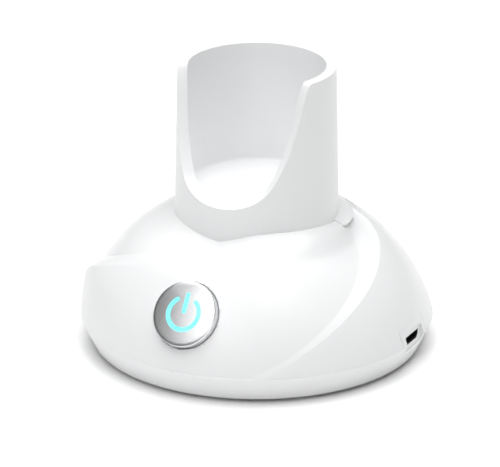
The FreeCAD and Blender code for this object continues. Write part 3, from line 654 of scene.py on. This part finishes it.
def cup_angles(count=150):
    """Angles round the cup, evenly spaced along the opening's edge."""
    fine = np.linspace(-CUT_ENDS, CUT_ENDS, 1500)
    points = np.array([(math.radians(a) * CUP_TOP, cut_height(a)) for a in fine])
    run = np.concatenate([[0], np.cumsum(np.linalg.norm(np.diff(points, axis=0), axis=1))])
    front = np.interp(np.linspace(0, run[-1], count), run, fine)
    return list(front) + list(np.linspace(CUT_ENDS, 360.0 - CUT_ENDS, 92)[1:-1])


def cup_outer(height):
    """Outer radius of the cup at a height above the skirt."""
    share = min(max((height - CUP_TAPER) / (CUP_RIM - SKIRT - CUP_TAPER), 0.0), 1.0)
    return CUP_ROOT + (CUP_TOP - CUP_ROOT) * share


def cup_mesh():
    """The cup's closed wall, floor and skirt, one column of points at each angle."""
    floor = CUP_FLOOR - SKIRT
    foot = CUP_FOOT - SKIRT
    fillet = FLOOR_FILLET
    skirt_in = CUP_ROOT - SKIRT_WALL
    mesh = bmesh.new()
    columns = []
    for angle in cup_angles():
        top = cut_height(angle)
        outside = [(cup_outer(z), z) for z in np.linspace(foot, top, 26)]
        bend = [(CUP_BORE - fillet + fillet * math.cos(t), floor + fillet - fillet * math.sin(t))
                for t in np.linspace(0, math.pi / 2, 6)]
        above = max(top, floor + 0.35)
        bend = [(r, min(z, above - 0.02)) for r, z in bend]
        inside = [(CUP_BORE, z) for z in np.linspace(above, max(bend[0][1], floor + 0.1), 14)][:-1]
        under = [(skirt_in, floor - FLOOR_THICK), (skirt_in, foot)]
        place = math.radians(angle)
        outline = outside + inside + bend + under
        columns.append([mesh.verts.new((r * math.sin(place) * MM, -r * math.cos(place) * MM,
                                        (SKIRT + z) * MM)) for r, z in outline])
    count = len(columns[0])
    floor_row = count - 3
    middle_top = mesh.verts.new((0, 0, CUP_FLOOR * MM))
    middle_low = mesh.verts.new((0, 0, (CUP_FLOOR - FLOOR_THICK) * MM))
    for first, second in zip(columns, columns[1:] + columns[:1]):
        for j in range(count):
            k = (j + 1) % count
            if j == floor_row:
                mesh.faces.new([first[j], second[j], middle_top])
                mesh.faces.new([second[k], first[k], middle_low])
            else:
                mesh.faces.new([first[j], second[j], second[k], first[k]])
    return outward(mesh)


class DOCK_OT_cup(bpy.types.Operator):
    """The upright cup with its U-shaped front opening"""
    bl_idname = "dock.cup"
    bl_label = "Cup"

    def execute(self, context):
        cup = finish_mesh("cup_skin", cup_mesh(), bpy.data.materials["dock shell plastic"], 40)
        bevel = cup.modifiers.new("edge round", "BEVEL")
        bevel.width = context.scene.dock_shell.cup_round * MM
        bevel.segments = 3
        bevel.limit_method = "ANGLE"
        bevel.angle_limit = math.radians(50)
        bevel.use_clamp_overlap = True
        bake_modifiers(cup)
        cup.data.set_sharp_from_angle(angle=math.radians(50))
        stand_for(cup, "dock", "shell_white", "cup")
        return {"FINISHED"}


# ---------------------------------------------------------------- base and feet

class DOCK_OT_base(bpy.types.Operator):
    """Plastic of the lower housing, and the rubber feet"""
    bl_idname = "dock.base"
    bl_label = "Base and feet"

    def execute(self, context):
        plastic = base_plastic()
        paint("lower_housing", plastic)
        grip = rubber("dock foot rubber", (0.42, 0.43, 0.45))
        for i in range(1, 5):
            low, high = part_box(f"foot_{i}")
            centre = (low + high) / 2
            radius = (high.x - low.x) / 2 / MM
            height = (high.z - low.z) / MM
            outline = rounded([(0, 0), (radius, 0), (radius, height), (0, height)], {1: 0.35, 2: 0.1})
            dish = [(0, 0.12), (radius * 0.7, 0.12), (radius * 0.78, 0.0)] + outline[1:]
            place = Matrix.Translation((centre.x, centre.y, low.z))
            foot = finish_mesh(f"foot_pad_{i}", lathe(dish, 64, place), grip)
            stand_for(foot, "dock", "foot_rubber", f"foot_{i}")
        return {"FINISHED"}


# ---------------------------------------------------------------- power inlet

POCKET = (11.0, 5.6)            # width and height of the recess in the side
MOUTH = (8.2, 2.6)              # the opening at its back, dark from shade painted into its socket's colour
MOUTH_BACK = 48.4               # distance of the recess's back from the axis
POCKET_ROUND, MOUTH_ROUND = 1.6, 0.3
MOUTH_CHAMFER = 1.0             # width of the socket's two cut corners
SOCKET_WALL = 0.35
INSIDE, BEYOND = 40.0, 60.0     # distances from the axis between which the side is cut through


def outside_mesh():
    """The outside of base and dome, turned whole."""
    arc = [(BALL * math.cos(t), BALL_CENTRE + BALL * math.sin(t))
           for t in np.linspace(math.radians(SKIRT_ANGLE), math.radians(SKIRT_ANGLE + 20), 40)]
    foot = BASE_RADIUS - BAND_INSET
    return lathe([(0, BASE_BOTTOM), (foot, BASE_BOTTOM)] + arc + [(0, arc[-1][1])], 400)


def side_prism(outline, start, end, middle):
    """An outline of (across, up) points raised along +X."""
    turn = Matrix(((0, 0, 1), (1, 0, 0), (0, 1, 0))).to_4x4()
    return prism([(y, z + middle) for y, z in outline], start, end, turn)


class DOCK_OT_inlet(bpy.types.Operator):
    """Recess in the side with the mouth of the power inlet, its socket painted near-black as shade"""
    bl_idname = "dock.inlet"
    bl_label = "Power inlet"

    def execute(self, context):
        low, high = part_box("inlet_frame")
        middle = (low.z + high.z) / 2 / MM
        block = finish_mesh("inlet_recess", outside_mesh(), bpy.data.materials["dock shell plastic"], 30)
        cut_away(block, box_mesh(low / MM, (high + Vector((0.002, 0, 0))) / MM), "INTERSECT")
        wide, tall = POCKET[0] / 2, POCKET[1] / 2
        corners = [(wide, tall), (-wide, tall), (-wide, -tall), (wide, -tall)]
        recess = rounded(corners, dict.fromkeys(range(4), POCKET_ROUND), 8)
        cut_away(block, side_prism(recess, MOUTH_BACK, BEYOND, middle))
        cut_away(block, side_prism(self.mouth(0.0), INSIDE, BEYOND, middle))
        block.data.set_sharp_from_angle(angle=math.radians(25))
        stand_for(block, "dock", "base_white", "inlet_frame")
        # Painted shade: the tin-plated socket is drawn near-black so that the mouth looks dark inside
        black = matt_plastic("dock blackened socket", (0.004, 0.004, 0.004), 0.6)
        back = low_mm("usb_shell").x
        outside = side_prism(self.mouth(0.02), back, MOUTH_BACK - 0.1, middle)
        socket = finish_mesh("inlet_socket", outside, black)
        cut_away(socket, side_prism(self.mouth(SOCKET_WALL), back + 0.3, BEYOND, middle))
        socket.data.set_sharp_from_angle(angle=math.radians(25))
        stand_for(socket, "dock", "plated_tin", "usb_shell")
        return {"FINISHED"}

    def mouth(self, inset):
        """The socket's outline: its two lower corners are cut off."""
        wide, tall = MOUTH[0] / 2 - inset, MOUTH[1] / 2 - inset
        corners = [(wide, tall), (-wide, tall), (-wide, -tall * 0.2), (MOUTH_CHAMFER - wide, -tall),
                   (wide - MOUTH_CHAMFER, -tall), (wide, -tall * 0.2)]
        return rounded(corners, dict.fromkeys(range(6), MOUTH_ROUND), 3)


# ---------------------------------------------------------------- button

FLANGE = (5.9, 6.7)             # foot and top of the flange that keeps the cap in its guide
FLANGE_OUT = 1.0                # how far it stands out past the disc
CAP_WALL = 0.9
CROWN = 0.45                    # how far the disc's face falls towards its edge
LENS_FOOT = 9.3                 # where the clear sign stands on its backing plate
LENS_SUNK = 0.2                 # how far its face lies below the disc's
WELL_GAP = 0.03                 # room round the sign in the disc
STEM_RADIUS, STEM_FOOT = 1.6, 6.2
PLATE_FOOT = 8.2                # underside of the backing plate
SIGN_GAP = math.radians(38.0)   # half the opening at the top of the ring


def button_matrix():
    """Turns the button's own frame, Z out of its face and Y uphill, into the dock's."""
    out = Vector((0, -math.cos(BUTTON_TILT), math.sin(BUTTON_TILT)))
    uphill = Vector((0, math.sin(BUTTON_TILT), math.cos(BUTTON_TILT)))
    across = uphill.cross(out)
    return Matrix((across, uphill, out)).transposed()


def button_origin():
    """The zero of the button's frame, on the back of its guide, in metres."""
    back = BALL - BUTTON_DEPTH
    return (Vector((0, 0, BALL_CENTRE)) + button_matrix() @ Vector((0, 0, back))) * MM


def button_place():
    return Matrix.Translation(button_origin()) @ button_matrix().to_4x4()


def sign_outline(inset=0.0, steps=40):
    """The power sign's ring and bar as closed outlines, each with round ends."""
    wants = bpy.context.scene.dock_button
    half = wants.stroke / 2 - inset
    start = math.pi / 2 + SIGN_GAP
    end = math.pi / 2 + 2 * math.pi - SIGN_GAP
    ring = []
    for radius, turn in ((wants.ring + half, 1), (wants.ring - half, -1)):
        angles = np.linspace(start, end, steps)[::turn]
        ring += [(radius * math.cos(t), radius * math.sin(t)) for t in angles]
        tip = angles[-1]
        centre = Vector((wants.ring * math.cos(tip), wants.ring * math.sin(tip)))
        first = tip if turn == 1 else tip + math.pi
        for t in np.linspace(first, first + math.pi, 8)[1:-1]:
            ring.append((centre.x + half * math.cos(t), centre.y + half * math.sin(t)))
    top, foot = wants.bar - half - inset, half + inset
    bar = [(half * math.cos(t), foot + half * math.sin(t)) for t in np.linspace(math.pi, 2 * math.pi, 9)]
    bar += [(half * math.cos(t), top + half * math.sin(t)) for t in np.linspace(0, math.pi, 9)]
    return ring, bar


def prism(outline, bottom, top, matrix):
    """A closed outline raised from bottom to top."""
    mesh = bmesh.new()
    floor = [mesh.verts.new((x * MM, y * MM, bottom * MM)) for x, y in outline]
    roof = [mesh.verts.new((x * MM, y * MM, top * MM)) for x, y in outline]
    count = len(outline)
    for i in range(count):
        k = (i + 1) % count
        mesh.faces.new([floor[i], floor[k], roof[k], roof[i]])
    for loop in (floor, roof):
        edges = [mesh.edges.get((loop[i], loop[(i + 1) % count])) for i in range(count)]
        bmesh.ops.triangle_fill(mesh, edges=edges, use_beauty=True)
    outward(mesh)
    mesh.transform(matrix)
    return mesh


class DOCK_OT_button(bpy.types.Operator):
    """Brushed metal button with its lit power sign"""
    bl_idname = "dock.button"
    bl_label = "Power button"

    def execute(self, context):
        wants = context.scene.dock_button
        place = button_place()
        face = BUTTON_DEPTH + wants.proud
        radius = wants.radius
        crown = [(radius * t, face - CROWN * t ** 2) for t in np.linspace(0, 0.955, 14)]
        edge = crown[-1][1]
        side = [(radius - 0.16, edge - 0.09), (radius - 0.03, edge - 0.28), (radius, edge - 0.55),
                (radius, FLANGE[1]), (radius + FLANGE_OUT, FLANGE[1]), (radius + FLANGE_OUT, FLANGE[0]),
                (radius - CAP_WALL, FLANGE[0]), (radius - CAP_WALL, LENS_FOOT), (0, LENS_FOOT)]
        cap = finish_mesh("button_disc", lathe(crown + side, 160, place), brushed_disc(), 35)
        glow = icon_glow()
        for outline in sign_outline(-WELL_GAP):
            cut_away(cap, prism(outline, 8, 14, place))
        cap.data.set_sharp_from_angle(angle=math.radians(35))
        stand_for(cap, "button", "button_metal", "button_cap")
        pieces = bmesh.new()
        for outline in sign_outline():
            lens = prism(outline, LENS_FOOT, face - LENS_SUNK, place)
            part = bpy.data.meshes.new("part")
            lens.to_mesh(part)
            lens.free()
            pieces.from_mesh(part)
            bpy.data.meshes.remove(part)
        sign = finish_mesh("icon_light", pieces, glow)
        plate = radius - CAP_WALL - 0.05
        top = LENS_FOOT - 0.02
        guide = lathe([(0, STEM_FOOT), (STEM_RADIUS, STEM_FOOT), (STEM_RADIUS, PLATE_FOOT),
                       (plate, PLATE_FOOT), (plate, top), (0, top)], 96, place)
        back = finish_mesh("icon_light_back", guide, matt_plastic("dock diffuser", (0.8, 0.9, 0.9), 0.4))
        stand_for(sign, "button", "icon_glow", "icon_light_guide")
        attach(back, "button")
        return {"FINISHED"}


# ---------------------------------------------------------------- coil

HUB_RADIUS = 6.2                # inside of the winding, on the bobbin's hub


def tree_input(tree, name, kind, default):
    """A named input of a node tree; returns the key that a modifier sets it by."""
    socket = tree.interface.new_socket(name, in_out="INPUT", socket_type=kind)
    socket.default_value = default
    return socket.identifier


def copies_to_output(tree, points, piece, material):
    """Copy a piece to every point and send the copies out with their material."""
    new, link = tree.nodes.new, tree.links.new
    copies = new("GeometryNodeInstanceOnPoints")
    link(points, copies.inputs["Points"])
    link(piece, copies.inputs["Instance"])
    real = new("GeometryNodeRealizeInstances")
    link(copies.outputs["Instances"], real.inputs["Geometry"])
    finish = new("GeometryNodeSetMaterial")
    finish.inputs["Material"].default_value = material
    link(real.outputs["Geometry"], finish.inputs["Geometry"])
    link(finish.outputs["Geometry"], new("NodeGroupOutput").inputs["Geometry"])
    return copies


def winding_tree(material):
    """Geometry nodes: a flat spiral of wire, repeated as layers up the bobbin."""
    tree = bpy.data.node_groups.new("coil winding", "GeometryNodeTree")
    tree.interface.new_socket("Geometry", in_out="OUTPUT", socket_type="NodeSocketGeometry")
    ids = {"inner": tree_input(tree, "Inner radius", "NodeSocketFloat", 0.006),
           "outer": tree_input(tree, "Outer radius", "NodeSocketFloat", 0.012),
           "wire": tree_input(tree, "Wire radius", "NodeSocketFloat", 0.0004),
           "foot": tree_input(tree, "Lowest layer", "NodeSocketFloat", 0.0),
           "rise": tree_input(tree, "Layer rise", "NodeSocketFloat", 0.0009),
           "turns": tree_input(tree, "Turns", "NodeSocketInt", 7),
           "layers": tree_input(tree, "Layers", "NodeSocketInt", 5)}
    new, link = tree.nodes.new, tree.links.new
    given = new("NodeGroupInput").outputs
    spiral = new("GeometryNodeCurveSpiral")
    spiral.inputs["Resolution"].default_value = 40
    spiral.inputs["Height"].default_value = 0.0
    link(given["Turns"], spiral.inputs["Rotations"])
    link(given["Inner radius"], spiral.inputs["Start Radius"])
    link(given["Outer radius"], spiral.inputs["End Radius"])
    section = new("GeometryNodeCurvePrimitiveCircle")
    section.inputs["Resolution"].default_value = 8
    link(given["Wire radius"], section.inputs["Radius"])
    tube = new("GeometryNodeCurveToMesh")
    tube.inputs["Fill Caps"].default_value = True
    link(spiral.outputs["Curve"], tube.inputs["Curve"])
    link(section.outputs["Curve"], tube.inputs["Profile Curve"])
    line = new("GeometryNodeMeshLine")
    link(given["Layers"], line.inputs["Count"])
    for output, socket in (("Lowest layer", "Start Location"), ("Layer rise", "Offset")):
        lift = new("ShaderNodeCombineXYZ")
        link(given[output], lift.inputs["Z"])
        link(lift.outputs["Vector"], line.inputs[socket])
    copies_to_output(tree, line.outputs["Mesh"], tube.outputs["Mesh"], material)
    return tree, ids


def grown(name, tree, values, source=None):
    """An object whose mesh is what a tree makes with these inputs."""
    mesh = source or bpy.data.meshes.new(name)
    obj = bpy.data.objects.new(name, mesh)
    bpy.context.scene.collection.objects.link(obj)
    modifier = obj.modifiers.new("pattern", "NODES")
    modifier.node_group = tree
    for identifier, value in values.items():
        modifier[identifier] = value
    bake_modifiers(obj)
    obj.data.shade_smooth()
    obj.data.set_sharp_from_angle(angle=math.radians(40))
    return obj


class DOCK_OT_coil(bpy.types.Operator):
    """Charging coil wound turn by turn on its bobbin"""
    bl_idname = "dock.coil"
    bl_label = "Charging coil"

    def execute(self, context):
        wants = context.scene.dock_coil
        low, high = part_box("coil_winding")
        wire = (high.z - low.z) / wants.layers / 2
        tree, ids = winding_tree(plated_metal("dock copper wire", (0.72, 0.33, 0.14), 0.3))
        values = {ids["inner"]: HUB_RADIUS * MM + wire, ids["outer"]: high.x - wire, ids["wire"]: wire * 0.98,
                  ids["foot"]: low.z + wire, ids["rise"]: 2 * wire, ids["turns"]: wants.turns,
                  ids["layers"]: wants.layers}
        coil = grown("coil_turns", tree, values)
        stand_for(coil, "dock", "copper_wire", "coil_winding")
        return {"FINISHED"}


# ---------------------------------------------------------------- screws

THREAD_PITCH = 0.55


def screw_tree(head, material):
    """Geometry nodes: one screw, copied to every point of the source mesh."""
    tree = bpy.data.node_groups.new("screw copies", "GeometryNodeTree")
    tree.interface.new_socket("Geometry", in_out="INPUT", socket_type="NodeSocketGeometry")
    tree.interface.new_socket("Geometry", in_out="OUTPUT", socket_type="NodeSocketGeometry")
    size = tree_input(tree, "Size", "NodeSocketFloat", 1.0)
    given = tree.nodes.new("NodeGroupInput").outputs
    info = tree.nodes.new("GeometryNodeObjectInfo")
    info.inputs["Object"].default_value = head
    copies = copies_to_output(tree, given["Geometry"], info.outputs["Geometry"], material)
    tree.links.new(given["Size"], copies.inputs["Scale"])
    return tree, size


def islands(node):
    """Boxes of a CAD node's separate solids."""
    mesh = bmesh.new()
    mesh.from_mesh(NODES[node].data)
    bmesh.ops.remove_doubles(mesh, verts=mesh.verts, dist=1e-6)
    left = set(mesh.verts)
    found = []
    while left:
        stack = [left.pop()]
        group = []
        while stack:
            vert = stack.pop()
            group.append(vert.co.copy())
            for edge in vert.link_edges:
                other = edge.other_vert(vert)
                if other in left:
                    left.remove(other)
                    stack.append(other)
        low = Vector(map(min, zip(*group)))
        high = Vector(map(max, zip(*group)))
        found.append((low, high))
    mesh.free()
    return found


def screw_mesh(head, shank, head_height, long):
    """A pan-head screw standing on its head, with a cross recess and a pitch of thread rings."""
    outline = [(0, 0), (head * 0.72, 0), (head * 0.93, head_height * 0.25), (head, head_height * 0.6),
               (head, head_height), (shank, head_height)]
    rings = max(int((long - head_height) / THREAD_PITCH), 1)
    step = (long - head_height - 0.4) / rings
    for i in range(rings):
        foot = head_height + step * i
        outline += [(shank * 0.8, foot + step * 0.3), (shank, foot + step * 0.62),
                    (shank * 0.8, foot + step * 0.9)]
    outline += [(shank * 0.7, long - 0.2), (shank * 0.3, long), (0, long)]
    obj = finish_mesh("screw", lathe(outline, 28), None)
    for turn in (0.0, math.pi / 2):
        slot = box_mesh((-head * 0.62, -head * 0.13, -1), (head * 0.62, head * 0.13, head_height * 0.55))
        slot.transform(Matrix.Rotation(turn, 4, "Z"))
        cut_away(obj, slot)
    return obj


class DOCK_OT_screws(bpy.types.Operator):
    """Cross-head screws of the housing, cup, coil holder and main board"""
    bl_idname = "dock.screws"
    bl_label = "Screws"

    def execute(self, context):
        steel = plated_metal("dock screw steel", (0.55, 0.55, 0.57), 0.32)
        kinds = (("housing_screws", 1.25, 1.6, False), ("cup_screws", 1.25, 1.6, False),
                 ("coil_holder_screws", 0.9, 1.1, False), ("main_board_screws", 0.9, 1.1, True))
        for node, shank, head_height, head_up in kinds:
            boxes = islands(node)
            low, high = boxes[0]
            screw = screw_mesh((high.x - low.x) / 2 / MM, shank, head_height, (high.z - low.z) / MM)
            if head_up:
                screw.data.transform(Matrix.Rotation(math.pi, 4, "X"))
            points = bpy.data.meshes.new(node + "_places")
            points.from_pydata([((a.x + b.x) / 2, (a.y + b.y) / 2, b.z if head_up else a.z)
                                for a, b in boxes], [], [])
            tree, size = screw_tree(screw, steel)
            made = grown(node + "_crossed", tree, {size: 1.0}, points)
            bpy.data.objects.remove(screw)
            stand_for(made, "dock", "screw_steel", node)
        return {"FINISHED"}


# ---------------------------------------------------------------- the CAD pieces that stay

class DOCK_OT_finishes(bpy.types.Operator):
    """Finishes of the pieces inside and of the inlet"""
    bl_idname = "dock.finishes"
    bl_label = "Inner finishes"

    def execute(self, context):
        black = matt_plastic("dock black moulding", (0.025, 0.025, 0.028), 0.45)
        chips = matt_plastic("dock chip epoxy", (0.03, 0.03, 0.032), 0.6)
        holder = matt_plastic("dock holder nylon", (0.72, 0.72, 0.69), 0.5)
        ferrite = matt_plastic("dock ferrite", (0.09, 0.09, 0.095), 0.65)
        gold = plated_metal("dock contact plating", (0.85, 0.62, 0.25), 0.25)
        finishes = {
            black: ("button_guide", "usb_tongue", "switch_body", "switch_plunger"),
            chips: ("charge_controller", "filter_inductor", "power_transistors", "resonance_capacitors",
                    "small_chip_parts"),
            holder: ("coil_bobbin", "coil_holder", "board_header"),
            ferrite: ("ferrite_core",),
            gold: ("usb_contacts",),
            board_laminate(): ("main_board", "button_board"),
            matt_plastic("dock lamp epoxy", (0.75, 0.9, 0.92), 0.25): ("status_leds",),
            rubber("dock seal rubber", (0.03, 0.03, 0.032)): ("housing_gasket", "button_seal"),
            rubber("dock bellows silicone", (0.75, 0.76, 0.75)): ("return_bellows",),
            rubber("dock lead sleeve", (0.5, 0.03, 0.025)): ("coil_lead", "button_lead"),
            plated_metal("dock small screws", (0.55, 0.55, 0.57), 0.32): ("button_board_screws",),
        }
        for material, nodes in finishes.items():
            for node in nodes:
                paint(node, material)
        return {"FINISHED"}


# ---------------------------------------------------------------- stage

CAMERA_AROUND = math.radians(27.0)      # to the right of the front
CAMERA_ABOVE = math.radians(21.463)
CAMERA_AWAY = 1000.0
CAMERA_LEFT, CAMERA_UP = 1.931, 21.398  # shift of the view's middle from the axis at the skirt


def aim(obj, target):
    """Point a light at a place; its own -Z looks there."""
    direction = Vector(target) - obj.location
    obj.rotation_euler = direction.to_track_quat("-Z", "Y").to_euler()


def softbox(name, place, size, power, target=(0, 0, 0.03)):
    light = bpy.data.lights.new(name, "AREA")
    light.shape = "RECTANGLE"
    light.size, light.size_y = size
    light.energy = power
    obj = bpy.data.objects.new(name, light)
    obj.location = place
    bpy.context.scene.collection.objects.link(obj)
    aim(obj, target)


class DOCK_OT_stage(bpy.types.Operator):
    """Pale floor, soft studio light and the camera"""
    bl_idname = "dock.stage"
    bl_label = "Stage"

    def execute(self, context):
        wants = context.scene.dock_stage
        self.floor()
        self.sky(context.scene, wants.sky)
        softbox("softbox overhead", (0.0, 0.1, 1.2), (1.5, 1.5), wants.key, (0, 0.1, 0))
        softbox("softbox front", (-0.08, -0.76, 0.68), (0.72, 0.5), wants.front)
        self.camera(context.scene, wants.lens)
        context.scene.view_settings.view_transform = "Standard"
        return {"FINISHED"}

    def floor(self):
        material, tree, shader = node_material("stage floor", (0.93, 0.93, 0.93), 0.7)
        grain = object_noise(tree, 30.0)
        spread(tree, grain.outputs["Fac"], 0.65, 0.75, shader.inputs["Roughness"])
        sheet = bmesh.new()
        bmesh.ops.create_grid(sheet, x_segments=1, y_segments=1, size=6.0)
        finish_mesh("stage_floor", sheet, material)

    def sky(self, scene, strength):
        """Even and pale, a little darker to the left."""
        world = bpy.data.worlds.new("studio")
        world.use_nodes = True
        scene.world = world
        tree = world.node_tree
        back = tree.nodes["Background"]
        back.inputs["Strength"].default_value = strength
        place = tree.nodes.new("ShaderNodeTexCoord")
        axes = tree.nodes.new("ShaderNodeSeparateXYZ")
        reach = tree.nodes.new("ShaderNodeMapRange")
        reach.inputs["From Min"].default_value = -0.9
        reach.inputs["From Max"].default_value = 0.3
        reach.inputs["To Min"].default_value = 0.72
        tree.links.new(place.outputs["Generated"], axes.inputs["Vector"])
        tree.links.new(axes.outputs["X"], reach.inputs["Value"])
        tree.links.new(reach.outputs["Result"], back.inputs["Color"])

    def camera(self, scene, lens):
        """A long lens a metre away, to the right of the front and above."""
        data = bpy.data.cameras.new("camera")
        data.lens = lens
        data.sensor_width = 36.0
        camera = bpy.data.objects.new("camera", data)
        scene.collection.objects.link(camera)
        around, above = CAMERA_AROUND, CAMERA_ABOVE
        back = Vector((math.sin(around) * math.cos(above), -math.cos(around) * math.cos(above),
                       math.sin(above)))
        right = Vector((math.cos(around), math.sin(around), 0))
        up = right.cross(-back)
        spot = Vector((0, 0, SKIRT)) + back * CAMERA_AWAY - right * CAMERA_LEFT + up * CAMERA_UP
        camera.location = spot * MM
        camera.rotation_euler = (-back).to_track_quat("-Z", "Y").to_euler()
        data.clip_start = 0.01
        scene.camera = camera


# ---------------------------------------------------------------- add-on

class DOCK_PT_panel(bpy.types.Panel):
    """Lists the dock's operators and sizes"""
    bl_idname = "DOCK_PT_panel"
    bl_label = "Charging dock"
    bl_space_type = "VIEW_3D"
    bl_region_type = "UI"
    bl_category = "Dock"

    def draw(self, context):
        for name, settings in SETTINGS.items():
            group = getattr(context.scene, name)
            for key in settings.__annotations__:
                self.layout.prop(group, key)
        for operator in OPERATORS:
            self.layout.operator(operator.bl_idname)


SETTINGS = {"dock_shell": ShellSettings, "dock_button": ButtonSettings, "dock_coil": CoilSettings,
            "dock_stage": StageSettings}
OPERATORS = (DOCK_OT_shells, DOCK_OT_cup, DOCK_OT_base, DOCK_OT_inlet, DOCK_OT_button, DOCK_OT_coil,
             DOCK_OT_screws, DOCK_OT_finishes, DOCK_OT_stage)


def register():
    for settings in SETTINGS.values():
        bpy.utils.register_class(settings)
    for operator in OPERATORS:
        bpy.utils.register_class(operator)
    bpy.utils.register_class(DOCK_PT_panel)
    for name, settings in SETTINGS.items():
        setattr(bpy.types.Scene, name, bpy.props.PointerProperty(type=settings))


def unregister():
    for name in SETTINGS:
        delattr(bpy.types.Scene, name)
    for kind in (DOCK_PT_panel, *OPERATORS, *SETTINGS.values()):
        bpy.utils.unregister_class(kind)


def main():
    register()
    bpy.ops.dock.shells()
    bpy.ops.dock.cup()
    bpy.ops.dock.base()
    bpy.ops.dock.inlet()
    bpy.ops.dock.button()
    bpy.ops.dock.coil()
    bpy.ops.dock.screws()
    bpy.ops.dock.finishes()
    bpy.ops.dock.stage()


if __name__ == "__main__":
    main()
